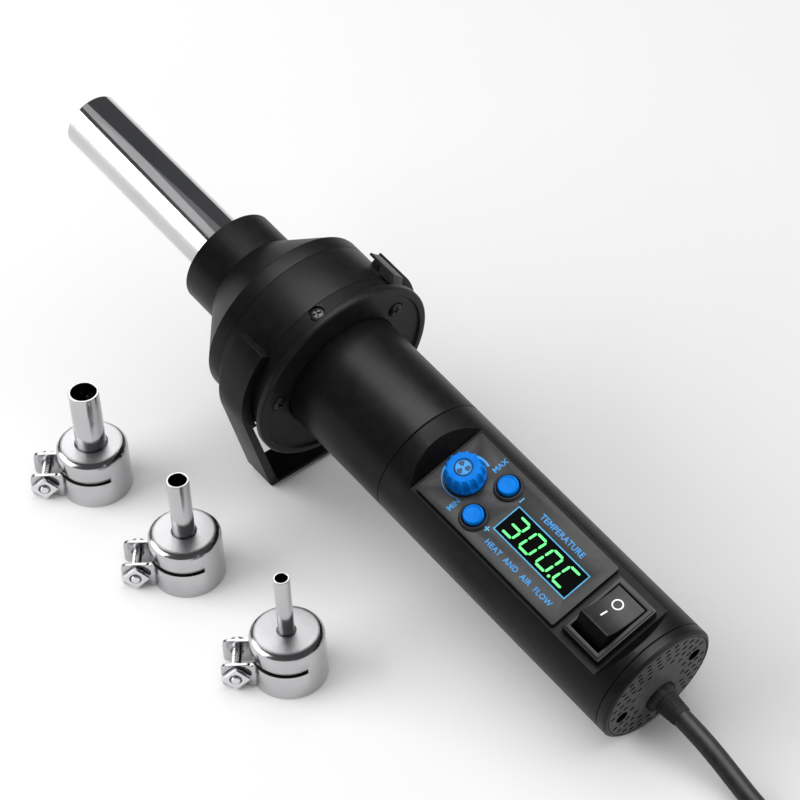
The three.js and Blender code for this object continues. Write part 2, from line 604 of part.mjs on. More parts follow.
function makeFan() {
  const inner = HEAD_R - HEAD_WALL - 0.6;
  node(handle, 'fan_housing', turnedX([
    [FAN_START, inner], [FAN_END, inner], [FAN_END, inner - 1.4], [FAN_START, inner - 1.4],
  ]).subtract(intakeWindow()), BLACK);
  node(handle, 'motor_mount', cut(
    rodX(141, 142.2, inner - 1.8, 0, 0, 36), rodX(140, 144, 8, 0, 0, 24),
    ...[45, 135, 225, 315].map((angle) => rodX(140, 144, 5, ...polar(16.5, angle), 16)),
  ), DARK_STEEL);
  node(handle, 'fan_motor', cut(
    join(rodX(142.5, 150, 12, 0, 0, 24), rodX(137.5, 144, 7.6, 0, 0, 20)),
    rodX(144, 151, 1.4, 0, 0, 10)), STEEL);
  const blades = Array.from({ length: 9 }, (_, i) => turnAboutX(
    box(151, 157, -0.5, 0.5, 6, 20), (i * 2 * Math.PI) / 9));
  node(handle, 'fan_impeller', join(rodX(150.6, 157.2, 7, 0, 0, 20), rodX(145, 151, 1.1, 0, 0, 10),
    rodX(150.6, 151.4, 20, 0, 0, 36), ...blades), RUBBER);
}

// Opening through the back of the fan's housing behind the intake slots.
function intakeWindow() {
  return join(...[145, 215].map((middle) => intakeSlot(137.6, 156.8, middle)));
}

// ---------------------------------------------------------------- inside the handle

function makeElectronics() {
  node(handle, 'control_board', box(27, 86, -12.5, 12.5, 8, 9.6), BOARD);
  node(handle, 'power_board', box(24, 118, -14, 14, -8.4, -6.8), BOARD);
  node(handle, 'smoothing_capacitor', rodX(90, 112, 6, 5, 0, 20), GLOSS_BLACK);
  const fins = [-12, -9.5, -7, -4.5].map((y) => box(96, 116, y, y + 1, -5, 6));
  node(handle, 'triac_heatsink', join(box(96, 116, -12, -3.5, -6.4, -4.9), ...fins), ALUMINIUM);
  node(handle, 'cord_clamp', cut(box(17.5, 22.5, -7, 7, -10.5, -2.4),
    rodX(16, 24, CORD_D / 2 + GAP, 0, GLAND_Z, 16)), BLACK);
}

// ---------------------------------------------------------------- nozzles

function cupSolid(bore) {
  const { r, wall, height, slotLow, slotHigh, round } = CUP;
  const arc = Array.from({ length: 4 }, (_, i) => {
    const angle = (i * Math.PI) / 6;
    return [height - round + round * Math.sin(angle), r - round + round * Math.cos(angle)];
  });
  const shell = turnedZ([
    [0, r], ...arc, [height, bore + GAP], [height - wall, bore + GAP],
    [height - wall, r - wall], [0, r - wall],
  ], 32);
  const inside = EAR.y - EAR.thick / 2;
  const ears = [inside, -EAR.y - EAR.thick / 2].map((y) => cut(
    box(EAR.root, EAR.tip, y, y + EAR.thick, 0.5, slotLow - 0.4),
    rodY(-20, 20, 1.9, CLAMP.x, CLAMP.z, 12)));
  const split = box(0, 20, -inside, inside, -1, slotHigh);
  const half = 123;
  const sector = new THREE.Shape();
  sector.moveTo(0, 0);
  sector.absarc(0, 0, r + 8, THREE.MathUtils.degToRad(-half), THREE.MathUtils.degToRad(half));
  sector.closePath();
  const slot = cut(extrudedZ(sector, slotLow, slotHigh), rodZ(-1, 30, r - wall - 0.6, 0, 0, 24));
  return join(cut(shell, slot, split), ...ears);
}

function makeNozzle({ name, bore, r, height, x, y }) {
  const group = new THREE.Group();
  group.position.set(x, y, 0);
  group.rotation.z = NOZZLE_TURN;
  assembly.add(group);
  node(group, `${name}_nozzle_cup`, cupSolid(r), STEEL);
  const seat = CUP.height - CUP.wall;
  node(group, `${name}_nozzle_pipe`, turnedZ([
    [seat - 0.4, r], [height, r], [height, bore], [seat - 2.4, bore], [seat - 2.4, r + 1.4],
    [seat - GAP - 0.1, r + 1.4], [seat - GAP - 0.1, r],
  ], 24), STEEL);
  node(group, `${name}_clamp_screw`, cut(
    join(rodY(-7.4, 8.8, 1.5, CLAMP.x, CLAMP.z, 12), rodY(-7.4, -5.5, 2.7, CLAMP.x, CLAMP.z, 16)),
    box(CLAMP.x - 4, CLAMP.x + 4, -8, -6.8, CLAMP.z - 0.4, CLAMP.z + 0.4)), STEEL);
  node(group, `${name}_clamp_nut`, cut(
    box(-2.9, 2.9, 5.4, 7.6, -2.9, 2.9).rotate([0, 45, 0]).translate([CLAMP.x, 0, CLAMP.z]),
    rodY(0, 12, 1.8, CLAMP.x, CLAMP.z, 12)), STEEL);
}

// ---------------------------------------------------------------- build

makeAirPipe();
makeFrontCone();
makeFlange();
makeFlangeScrews();
makeStandRing();
makeClip();
makeBarrels();
makePads();
makePanel();
makeKnob();
makeButtons();
makeSwitch();
makeEndCap();
makeGland();
makeCord();
makePlug();
makeHeater();
makeFan();
makeElectronics();
NOZZLES.forEach(makeNozzle);

export default assembly;
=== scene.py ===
"""The looks of a hand-held hot air gun and its three clamp-on nozzles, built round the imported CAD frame.

Shapes are made in millimetres in one of three frames and then placed in the row frame, in metres:
  handle frame  x runs from the end cap's face to the tip of the air pipe, z is square to the panel
  gun frame     the handle frame rolled about x until z points up from the stand's foot
  nozzle frame  z is the nozzle's axis, x points along its clamp ears
"""
import json
import math

import bmesh
import bpy
from mathutils import Matrix, Vector


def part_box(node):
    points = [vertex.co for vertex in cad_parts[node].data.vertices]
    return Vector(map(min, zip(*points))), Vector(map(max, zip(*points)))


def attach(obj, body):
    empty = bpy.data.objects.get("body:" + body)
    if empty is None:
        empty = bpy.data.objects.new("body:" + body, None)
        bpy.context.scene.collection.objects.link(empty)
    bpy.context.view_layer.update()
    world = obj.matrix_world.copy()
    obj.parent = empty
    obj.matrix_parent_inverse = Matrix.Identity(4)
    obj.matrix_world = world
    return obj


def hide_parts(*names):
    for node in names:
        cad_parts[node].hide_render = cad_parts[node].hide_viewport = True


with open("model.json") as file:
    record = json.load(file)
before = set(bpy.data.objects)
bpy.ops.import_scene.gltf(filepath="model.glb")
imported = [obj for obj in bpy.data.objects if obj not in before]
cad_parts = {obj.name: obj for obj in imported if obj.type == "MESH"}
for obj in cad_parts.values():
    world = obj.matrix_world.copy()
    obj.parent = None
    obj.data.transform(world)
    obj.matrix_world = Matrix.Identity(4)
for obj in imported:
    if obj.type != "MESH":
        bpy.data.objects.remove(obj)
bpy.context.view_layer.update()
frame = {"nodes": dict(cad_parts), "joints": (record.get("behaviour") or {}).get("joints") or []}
joints = {j["name"]: j for j in frame["joints"]}
scene = bpy.context.scene
MM = 0.001

# ---------------- frames, from the joints

FAN_STATION = 154                      # station of the fan's joint along the gun
ALONG = Vector(joints["fan_spin"]["axis"]).normalized()
PANEL_OUT = Vector(joints["knob_turn"]["axis"]).normalized()
TAIL = Vector(joints["fan_spin"]["pos_m"]) - ALONG * FAN_STATION * MM


def placed(x_axis, z_axis, origin):
    """Matrix from a millimetre frame with these axes to the row frame."""
    y_axis = z_axis.cross(x_axis).normalized()
    z_axis = x_axis.cross(y_axis)
    turn = Matrix((x_axis, y_axis, z_axis)).transposed().to_4x4()
    return Matrix.Translation(origin) @ turn @ Matrix.Scale(MM, 4)


SIDEWAYS = Vector((0, -1, 0))
HANDLE = placed(ALONG, PANEL_OUT, TAIL)
GUN = placed(ALONG, ALONG.cross(SIDEWAYS), TAIL)
RISE = math.asin(ALONG.z)

# ---------------- sizes, in millimetres

CAP_END, HANDLE_SEAM, FLANGE_REAR, RIM_END, FLANGE_END = 3.4, 94.3, 132.3, 135.3, 139.7
RING_START, RING_END, CONE_START, CONE_EDGE = 140, 154.3, 154.6, 159.2
COLLAR_START, COLLAR_END, TIP = 173.5, 186, 253.5
HANDLE_R, HANDLE_WALL, PIPE_R, PIPE_WALL, COLLAR_R = 19.05, 1.8, 9, 0.7, 15.7
HEAD_R, RIM_R, HEAD_WALL, CAP_BEVEL = 28.05, 30.4, 1.9, 0.8
INTAKES, INTAKE_HALF = (140, 180, 220), 17
FLANGE_SCREWS, FLANGE_SCREW_R, SIDE_SCREW_X = (-68, 68, 180), 23.2, 137.5
FLOOR_Z, RECESS_START, RECESS_END, LEAN = 13.8, 9.2, 84.5, 0.75
PANEL_START, PANEL_END, PANEL_HALF, PANEL_TOP = 26.8, 83.3, 12, 14.9
KNOB_X, KNOB_R, KNOB_LOW, KNOB_TOP = 76, 5.8, 15.3, 21.2
BUTTON_X, BUTTON_Y, BUTTON_R, BUTTON_TOP, BEZEL_R = 65.4, 6.3, 2.95, 17.1, 4.3
DISPLAY_START, DISPLAY_END, DISPLAY_HALF = 30.6, 59, 4.5
SWITCH_START, SWITCH_END, SWITCH_HALF, SWITCH_TOP, SWITCH_WALL = 10.4, 24.9, 10.5, 16.2, 1.7
PIVOT, CREST, CREST_RISE, ROCKER_FOOT, ROCKER_DROP, TILT = 12.5, 6.9, 6.2, 8.4, 4, 17.4
CAP_SCREW_Y, GLAND_Z, GLAND_OUT = 13, -6.5, 8
PAD_START, PAD_END, PAD_DEPTH, PAD_X, PAD_Y, PAD_R = 12, 32, 12.8, 22, 7, 6.4
FOOT_START, FOOT_END, FOOT_R, FOOT_DEPTH, FOOT_HALF = 139.1, 149.7, 31.8, 47.5, 17.7
FOOT_WALL, ARM_ANGLE, SOLE_LAND = 2.2, 54, 5
CUP_R, CUP_WALL, CUP_HEIGHT, SLOT_LOW, SLOT_HIGH = 10.6, 1.2, 16.6, 8.6, 9.9
EAR_Y, EAR_THICK, EAR_ROOT, EAR_TIP, CLAMP_X, CLAMP_Z = 4.6, 1, 8.9, 18.6, 14.6, 4.4
NOZZLES = {"large": (3.85, 4.5, 36.5), "medium": (2.65, 3.25, 36.5), "small": (1.75, 2.3, 37)}
CORD_D = 5.6

# ---------------- camera

CAMERA_AT = Vector((0.5050, -0.3555, 0.6157))
CAMERA_RIGHT = Vector((0.64322, 0.76448, -0.04296))
CAMERA_UP = Vector((-0.49604, 0.45878, 0.73720))


def make_camera():
    data = bpy.data.cameras.new("camera")
    data.lens = 135
    data.sensor_width = 36
    data.clip_start = 0.01
    camera = added("camera", data)
    back = CAMERA_RIGHT.cross(CAMERA_UP).normalized()
    up = back.cross(CAMERA_RIGHT).normalized()
    turn = Matrix((CAMERA_RIGHT.normalized(), up, back)).transposed()
    camera.matrix_world = Matrix.Translation(CAMERA_AT) @ turn.to_4x4()
    scene.camera = camera


# ---------------- mesh tools


def added(name, data):
    """A new object with this data, in the scene."""
    made = bpy.data.objects.new(name, data)
    scene.collection.objects.link(made)
    return made


def plain(name, bm):
    mesh = bpy.data.meshes.new(name)
    bm.to_mesh(mesh)
    bm.free()
    return added(name, mesh)


def from_bmesh(name, bm):
    bmesh.ops.remove_doubles(bm, verts=bm.verts, dist=1e-4)
    bmesh.ops.recalc_face_normals(bm, faces=bm.faces)
    return plain(name, bm)


def rounded(points, radius, steps=4):
    """A closed outline with each corner replaced by a short curve."""
    out = []
    count = len(points)
    for i, corner in enumerate(points):
        corner = Vector(corner)
        before = Vector(points[i - 1]) - corner
        after = Vector(points[(i + 1) % count]) - corner
        if before.length < 1e-6 or after.length < 1e-6 or before.angle(after) > math.radians(170):
            out.append(tuple(corner))
            continue
        reach = min(radius, 0.45 * before.length, 0.45 * after.length)
        a = corner + before.normalized() * reach
        b = corner + after.normalized() * reach
        for k in range(steps + 1):
            t = k / steps
            out.append(tuple(a * (1 - t) ** 2 + corner * 2 * t * (1 - t) + b * t * t))
    return out


def turned(name, profile, radius=0.3, around=128, axis="x", shape=None):
    """Closed profile of (station, radius) corners turned about an axis. shape(angle, station, r) gives
    another radius at that angle."""
    outline = [(x, max(r, 0)) for x, r in rounded(profile, radius)]
    bm = bmesh.new()
    rings = []
    for i in range(around):
        angle = 2 * math.pi * i / around
        ring = []
        for x, r in outline:
            if shape:
                r = shape(angle, x, r)
            s, c = r * math.sin(angle), r * math.cos(angle)
            ring.append(bm.verts.new((x, s, c) if axis == "x" else (c, s, x)))
        rings.append(ring)
    count = len(outline)
    for i in range(around):
        a, b = rings[i], rings[(i + 1) % around]
        for k in range(count):
            n = (k + 1) % count
            if outline[k][1] < 1e-6 and outline[n][1] < 1e-6:
                continue
            bm.faces.new((a[k], a[n], b[n], b[k]))
    return from_bmesh(name, bm)


def prism(name, outline, low, high, axis="z"):
    """Closed outline extruded along an axis. The outline is (x, y), (y, z) along x, or (x, z) along y."""
    lay = {
        "x": lambda u, v, w: (w, u, v),
        "y": lambda u, v, w: (u, w, v),
        "z": lambda u, v, w: (u, v, w),
    }[axis]
    bm = bmesh.new()
    floor = [bm.verts.new(lay(u, v, low)) for u, v in outline]
    roof = [bm.verts.new(lay(u, v, high)) for u, v in outline]
    count = len(outline)
    bm.faces.new(floor[::-1])
    bm.faces.new(roof)
    for i in range(count):
        n = (i + 1) % count
        bm.faces.new((floor[i], floor[n], roof[n], roof[i]))
    return from_bmesh(name, bm)


def box(name, x0, x1, y0, y1, z0, z1):
    return prism(name, rectangle(x0, x1, y0, y1), z0, z1)


def circle(r, x=0, y=0, count=64):
    return [(x + r * math.cos(2 * math.pi * i / count), y + r * math.sin(2 * math.pi * i / count))
            for i in range(count)]


def rectangle(x0, x1, y0, y1):
    return [(x0, y0), (x1, y0), (x1, y1), (x0, y1)]


def polar(r, degrees):
    """A point at this angle from the second axis towards the first."""
    angle = math.radians(degrees)
    return r * math.sin(angle), r * math.cos(angle)


def settle(obj):
    """Applies every modifier."""
    graph = bpy.context.evaluated_depsgraph_get()
    mesh = bpy.data.meshes.new_from_object(obj.evaluated_get(graph))
    obj.modifiers.clear()
    old = obj.data
    obj.data = mesh
    bpy.data.meshes.remove(old)
    return obj


def merged(name, pieces):
    """Several objects as one, without joining their solids."""
    bm = bmesh.new()
    for piece in pieces:
        bm.from_mesh(piece.data)
        bpy.data.objects.remove(piece)
    return plain(name, bm)


def boolean(obj, pieces, operation):
    for piece in pieces:
        modifier = obj.modifiers.new("boolean", "BOOLEAN")
        modifier.operation = operation
        modifier.solver = "EXACT"
        modifier.object = piece
    settle(obj)
    for piece in pieces:
        bpy.data.objects.remove(piece)
    return obj


def carve(obj, *pieces):
    return boolean(obj, pieces, "DIFFERENCE")


def weld(obj, *pieces):
    return boolean(obj, pieces, "UNION")


def soften(obj, width, steps=2, angle=28):
    """Rounds the sharp edges."""
    bevel = obj.modifiers.new("bevel", "BEVEL")
    bevel.width = width
    bevel.segments = steps
    bevel.limit_method = "ANGLE"
    bevel.angle_limit = math.radians(angle)
    bevel.miter_outer = "MITER_ARC"
    return settle(obj)


def moved(obj, matrix):
    obj.data.transform(matrix)
    return obj


def shifted(obj, x, y, z):
    return moved(obj, Matrix.Translation((x, y, z)))


def looks_of(obj, looks, pick):
    """Gives the piece these looks, and each face the one whose number pick(face) says."""
    for look in looks:
        obj.data.materials.append(look)
    for face in obj.data.polygons:
        face.material_index = pick(face)


def done(obj, where, body, look, slot, *replaced, sharp=35):
    """Places a finished piece in the row frame, with its look and body, and hides the nodes that it
    stands for. slot is not used. sharp is the least angle, in degrees, of an edge that stays crisp."""
    obj.data.transform(where)
    for face in obj.data.polygons:
        face.use_smooth = True
    obj.data.set_sharp_from_angle(angle=math.radians(sharp))
    if not obj.data.materials:
        obj.data.materials.append(look)
    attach(obj, body)
    if replaced:
        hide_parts(*replaced)
    return obj


def on_gun(obj, look, slot, *replaced, sharp=35):
    """The same for a piece of the gun that is drawn in the handle frame."""
    return done(obj, HANDLE, "gun", look, slot, *replaced, sharp=sharp)


# ---------------- materials


class Look:
    """A procedural material: one principled shader and the textures that feed it."""

    def __init__(self, name, metallic=0.0, specular=0.5):
        self.material = bpy.data.materials.new(name)
        self.material.use_nodes = True
        self.nodes = self.material.node_tree.nodes
        self.shader = self.nodes["Principled BSDF"]
        self.shader.inputs["Metallic"].default_value = metallic
        self.shader.inputs["Specular IOR Level"].default_value = specular
        self.place = self.nodes.new("ShaderNodeTexCoord").outputs["Object"]
        self.bump = None

    def link(self, a, b):
        self.material.node_tree.links.new(a, b)

    def node(self, kind, values):
        """A new shader node with these input values."""
        node = self.nodes.new("ShaderNode" + kind)
        for name, value in values.items():
            node.inputs[name].default_value = value
        return node

    def stretched(self, scale, turn):
        node = self.node("Mapping", {"Scale": scale, "Rotation": turn})
        self.link(self.place, node.inputs["Vector"])
        return node.outputs["Vector"]

    def noise(self, scale, detail=3.0, rough=0.5, vector=None):
        node = self.node("TexNoise", {"Scale": scale, "Detail": detail, "Roughness": rough})
        self.link(vector or self.place, node.inputs["Vector"])
        return node.outputs["Fac"]

    def cells(self, scale):
        node = self.node("TexVoronoi", {"Scale": scale})
        self.link(self.place, node.inputs["Vector"])
        return node.outputs["Distance"]

    def colours(self, value, low, high, start=0.3, end=0.7):
        node = self.node("ValToRGB", {})
        ramp = node.color_ramp
        ramp.elements[0].position = start
        ramp.elements[0].color = (*low, 1)
        ramp.elements[1].position = end
        ramp.elements[1].color = (*high, 1)
        self.link(value, node.inputs["Fac"])
        self.link(node.outputs["Color"], self.shader.inputs["Base Color"])

    def gloss(self, value, low, high):
        node = self.node("MapRange", {"From Min": 0.3, "From Max": 0.7, "To Min": low, "To Max": high})
        self.link(value, node.inputs["Value"])
        self.link(node.outputs["Result"], self.shader.inputs["Roughness"])

    def relief(self, value, depth):
        """Bump of this depth in metres, on top of what is there."""
        node = self.node("Bump", {"Strength": 1.0, "Distance": depth})
        self.link(value, node.inputs["Height"])
        if self.bump:
            self.link(self.bump, node.inputs["Normal"])
        self.bump = node.outputs["Normal"]
        self.link(self.bump, self.shader.inputs["Normal"])


def plastic(name, low, high, rough, grain=3000, depth=4e-6, specular=0.4):
    """Moulded plastic: fine grain, slight mottling, and a gloss that varies a little."""
    look = Look(name, specular=specular)
    broad = look.noise(45, 4)
    look.colours(look.noise(320, 5, 0.6), low, high, 0.35, 0.65)
    look.gloss(broad, rough[0], rough[1])
    look.relief(look.noise(grain, 2), depth)
    return look.material


def metal(name, low, high, rough, streak=(1, 1, 1), turn=(0, 0, 0)):
    """Bright metal with fine lines along one direction and a few cloudy patches."""
    look = Look(name, metallic=1.0)
    lines = look.noise(2500, 3, 0.6, look.stretched(streak, turn))
    look.colours(look.noise(60, 4), low, high, 0.35, 0.65)
    look.gloss(lines, rough[0], rough[1])
    look.relief(lines, 1.5e-6)
    return look.material


def glowing(name, colour, edge, strength):
    """Lit display segments, a little uneven."""
    look = Look(name)
    look.colours(look.noise(900, 2), edge, colour, 0.2, 0.6)
    look.gloss(look.noise(200), 0.3, 0.4)
    look.shader.inputs["Emission Color"].default_value = (*colour, 1)
    look.shader.inputs["Emission Strength"].default_value = strength
    return look.material


def rubber(name, low, high, rough, pits=2200, depth=8e-6):
    """Matt rubber with small pits."""
    look = Look(name, specular=0.3)
    look.colours(look.noise(500, 5), low, high, 0.35, 0.65)
    look.gloss(look.noise(70, 3), rough[0], rough[1])
    look.relief(look.cells(pits), depth)
    return look.material


TILTED = (0, RISE, 0)
BLACK = plastic("satin_black", (0.0045, 0.0045, 0.0047), (0.0075, 0.0075, 0.0078), (0.36, 0.43),
                specular=0.15)
# Darker, duller copy of the satin black that paints shade on the recess ramps and the rocker's sides, which
# are the same plastic
PAINTED_SHADE_BLACK = plastic("ramp_black", (0.002, 0.002, 0.002), (0.004, 0.004, 0.004), (0.5, 0.6), specular=0.06)
CAP_GREY = plastic("cap_plastic", (0.050, 0.050, 0.051), (0.068, 0.068, 0.069), (0.45, 0.55),
                   2600, 6e-6, 0.2)
PANEL_GREY = plastic("panel_film", (0.018, 0.0185, 0.0195), (0.026, 0.0265, 0.0275), (0.42, 0.5),
                     4200, 3e-6, 0.2)
SWITCH_BLACK = plastic("switch_plastic", (0.013, 0.013, 0.0135), (0.020, 0.020, 0.0205), (0.34, 0.42),
                       specular=0.2)
BLUE = plastic("blue_plastic", (0.0003, 0.125, 0.50), (0.0006, 0.16, 0.58), (0.42, 0.5), specular=0.05)
GLOSS_BLACK = plastic("display_film", (0.0003, 0.0006, 0.0003), (0.0006, 0.001, 0.0006), (0.3, 0.4),
                      900, 1e-6, 0.01)
PRINT_BLUE = plastic("blue_print", (0.02, 0.20, 0.50), (0.04, 0.27, 0.62), (0.45, 0.55), specular=0.2)
PALE_BLUE = plastic("pale_blue_print", (0.05, 0.28, 0.50), (0.08, 0.36, 0.6), (0.4, 0.5), specular=0.1)
WHITE = plastic("white_print", (0.62, 0.62, 0.63), (0.78, 0.78, 0.78), (0.4, 0.5))
DIGITS = glowing("lit_green", (0.02, 0.62, 0.10), (0.01, 0.30, 0.04), 0.9)
UNLIT = plastic("unlit_segment", (0.0004, 0.001, 0.0004), (0.0007, 0.0016, 0.0007), (0.3, 0.4),
                specular=0.01)
DIAL_DARK = plastic("dial_mark", (0.002, 0.02, 0.06), (0.004, 0.03, 0.09), (0.3, 0.4), specular=0.2)
CHROME = metal("polished_pipe", (0.50, 0.50, 0.51), (0.57, 0.57, 0.58), (0.05, 0.11), (0.04, 1, 1), TILTED)
NOZZLE = metal("pressed_steel", (0.46, 0.46, 0.47), (0.55, 0.55, 0.56), (0.15, 0.24), (1, 1, 0.05))
NOZZLE_TUBE = metal("drawn_steel", (0.46, 0.46, 0.47), (0.54, 0.54, 0.55), (0.10, 0.18), (1, 1, 0.04))
NOZZLE_TOP = metal("spun_steel", (0.60, 0.60, 0.61), (0.68, 0.68, 0.69), (0.40, 0.48))
SCALED_STEEL = metal("scaled_steel", (0.05, 0.047, 0.045), (0.11, 0.105, 0.10), (0.4, 0.55))
DARK_STEEL = metal("black_screw", (0.03, 0.03, 0.032), (0.06, 0.06, 0.063), (0.4, 0.5))
SCREW_STEEL = metal("zinc_screw", (0.62, 0.62, 0.64), (0.78, 0.78, 0.79), (0.18, 0.3))
RUBBER = rubber("cord_rubber", (0.012, 0.012, 0.0125), (0.02, 0.02, 0.021), (0.42, 0.52))
PAD_RUBBER = rubber("pad_rubber", (0.010, 0.010, 0.010), (0.018, 0.018, 0.018), (0.6, 0.75), 1500, 2e-5)
ALUMINIUM = metal("aluminium", (0.52, 0.53, 0.54), (0.66, 0.67, 0.68), (0.25, 0.4), (1, 0.1, 1))
BRASS = metal("plated_pins", (0.72, 0.70, 0.64), (0.84, 0.82, 0.76), (0.12, 0.22), (0.1, 1, 1))
NICHROME = metal("heater_wire", (0.22, 0.19, 0.17), (0.38, 0.34, 0.30), (0.35, 0.5))
CERAMIC = plastic("ceramic", (0.62, 0.57, 0.48), (0.78, 0.73, 0.64), (0.6, 0.8), 1800, 1e-5)
MICA = plastic("mica", (0.30, 0.22, 0.11), (0.48, 0.37, 0.2), (0.25, 0.5), 900, 1e-5, specular=0.6)
BOARD = plastic("circuit_board", (0.008, 0.09, 0.03), (0.02, 0.15, 0.06), (0.3, 0.45), 1200, 6e-6)

# ---------------- cord

# from the gland down to the table and along it to the coil, as in the solid, in metres
CORD_ROUTE = [
    (0.1286, 0.0254, 0.0107), (0.1359, 0.0253, 0.0091), (0.1434, 0.0247, 0.0073),
    (0.1504, 0.0239, 0.0055), (0.1574, 0.0230, 0.0040), (0.1644, 0.0222, 0.0032),
    (0.1714, 0.0216, 0.0030), (0.1784, 0.0212, 0.0030), (0.1854, 0.0210, 0.0030),
    (0.1924, 0.0209, 0.0030), (0.1974, 0.0208, 0.0030),
]
COIL_X, COIL_Y = 0.2194, -0.0159
PLUG_X, PLUG_Y, PLUG_Z = 0.1706, -0.0593, 0.0069
LEAD_END = PLUG_X - 0.0015             # inside the plug's neck
TURN_R = (0.0365, 0.0309, 0.0253)
LAYER = (0.0028, 0.0084)
PITCH = TURN_R[0] - TURN_R[1]
TURN_STEPS = 24
STEP = 360 / TURN_STEPS


def coil_points():
    """Three turns inwards on the table, over two outwards on top of them, then down to the table."""
    points = []
    for turn in range(3):
        for step in range(TURN_STEPS):
            part = max(0, (step / TURN_STEPS - 2 / 3) * 3) * math.pi / 2
            if turn < 2:
                r, z = TURN_R[turn + 1] + PITCH * math.cos(part), LAYER[0]
            else:
                r, z = TURN_R[2], LAYER[0] + PITCH * math.sin(part)
            points.append((turn * 360 + step * STEP, r, z))
    upper_steps = 54
    for step in range(upper_steps):
        angle = step * STEP
        turn, within = divmod(angle, 360)
        move = min(max((within - 120) / 120, 0), 1)
        ease = move * move * (3 - 2 * move)
        points.append((3 * 360 + angle, TURN_R[2] + PITCH * (turn + ease), LAYER[1]))
    drop_steps = 6
    for step in range(1, drop_steps + 1):
        part = step / drop_steps * math.pi / 2
        out = TURN_R[0] + PITCH * 1.05 * math.sin(part)
        points.append((points[-1][0] + STEP, out, LAYER[0] + PITCH * math.cos(part)))
    return [(COIL_X + r * math.sin(math.radians(a)), COIL_Y + r * math.cos(math.radians(a)), z)
            for a, r, z in points]


def make_cord():
    lead_in = [(COIL_X - 0.0144, COIL_Y + 0.0366, 0.0029), (COIL_X - 0.0074, COIL_Y + 0.0365, 0.0028)]
    coil = coil_points()
    last = coil[-1]
    lead_out = [(last[0] - 0.010, last[1] - 0.0001, LAYER[0]), (last[0] - 0.022, last[1] - 0.0002, 0.0030),
                (last[0] - 0.032, last[1] - 0.0003, 0.0042), (last[0] - 0.040, PLUG_Y, 0.0060),
                (LEAD_END, PLUG_Y, PLUG_Z)]
    points = CORD_ROUTE + lead_in + coil + lead_out
    data = bpy.data.curves.new("mains_lead", "CURVE")
    data.dimensions = "3D"
    data.bevel_depth = CORD_D * MM / 2
    data.bevel_resolution = 6
    data.resolution_u = 6
    data.use_fill_caps = True
    spline = data.splines.new("NURBS")
    spline.points.add(len(points) - 1)
    for at, point in zip(spline.points, points):
        at.co = (*point, 1)
    spline.order_u = 4
    spline.use_endpoint_u = True
    data.materials.append(RUBBER)
    lead = added("mains_lead", data)
    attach(lead, "gun")
    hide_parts("mains_cord", "cord_coil", "plug_lead")
    return lead, points


def make_tie():
    """Hook-and-loop strap over the bundle, with one end lapped over the other."""
    low, high = (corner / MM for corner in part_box("coil_tie"))
    wall, radius, steps = 0.7, 3.5, 10
    y0, y1, top = low.y, high.y, high.z
    middle = (y0 + y1) / 2
    bend = [polar(radius, 90 * i / steps) for i in range(steps + 1)]
    section = [(y0, 0.2), (y0, top - radius)]
    section += [(y0 + radius - y, top - radius + z) for y, z in bend[-2::-1]]
    section += [(y1 - radius + y, top - radius + z) for y, z in bend]
    section += [(y1, 0.2)]
    inside = []
    for y, z in section:
        if z < top - radius:
            inside.append((y0 + wall if y < middle else y1 - wall, z))
        else:
            inside.append((middle + (y - middle) * (1 - 2 * wall / (y1 - y0)), z - wall))
    strap = prism("coil_strap", section + inside[::-1], low.x + 0.4, high.x - 0.4, "x")
    soften(strap, 0.15)
    tab = box("tab", low.x + 0.9, high.x - 0.9, y1 - 12, y1 - 4.5, top - 0.4, top - 0.01)
    strap = merged("coil_strap", [strap, soften(tab, 0.12)])
    return done(strap, Matrix.Scale(MM, 4), "gun", PAD_RUBBER, "black_plastic", "coil_tie")


def make_plug():
    """Flat two-pin plug on the table, with three grip lines across each side."""
    low, high = (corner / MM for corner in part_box("plug_body"))
    front, neck = low.x, high.x
    mid_y, mid_z = PLUG_Y / MM, PLUG_Z / MM
    half = (high.y - low.y) / 2
    thick = high.z - low.z
    edge = [(neck, 2.6), (neck - 10, 3.9), (neck - 16, half - 3.2), (neck - 26, half),
            (front + 0.01, half - 1)]
    outline = edge + [(x, -y) for x, y in edge[::-1]]
    outline = rounded([(x, y + mid_y) for x, y in outline], 4.5, 6)
    body = prism("plug_shell", outline, mid_z - thick / 2 + 0.01, mid_z + thick / 2 - 0.01)
    soften(body, 2.2, 5, 50)
    grips = []
    for i in range(3):
        for side in (-1, 1):
            x, z = neck - 22 + 2.4 * i, mid_z + side * (thick / 2 + 0.6)
            grips.append(box("g", x, x + 1.1, mid_y - 8, mid_y + 8, z - 1.1, z + 1.1))
    carve(body, *grips)
    left, right = (corner.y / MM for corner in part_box("plug_pins"))
    carve(body, box("p", front - 1, front + 6, left - 0.3, right + 0.3, mid_z - 3, mid_z + 3))
    soften(body, 0.2, 2, 35)
    done(body, Matrix.Scale(MM, 4), "gun", RUBBER, "rubber", "plug_body")
    insert = box("insert", front + 0.6, front + 5.6, left, right, mid_z - 2.6, mid_z + 2.6)
    pins = [soften(insert, 0.4, 3)]
    for side in (-1, 1):
        pin = turned("pin", [(front - 19, 0), (front - 19, 2), (front + 2, 2), (front + 2, 0)], 0.9, 48)
        pins.append(shifted(pin, 0, mid_y + side * 9.3, mid_z))
    made = merged("plug_contacts", pins)
    looks_of(made, (BRASS, RUBBER), lambda face: int(face.center.x > front + 0.5))
    return body, done(made, Matrix.Scale(MM, 4), "gun", BRASS, "brass", "plug_pins")


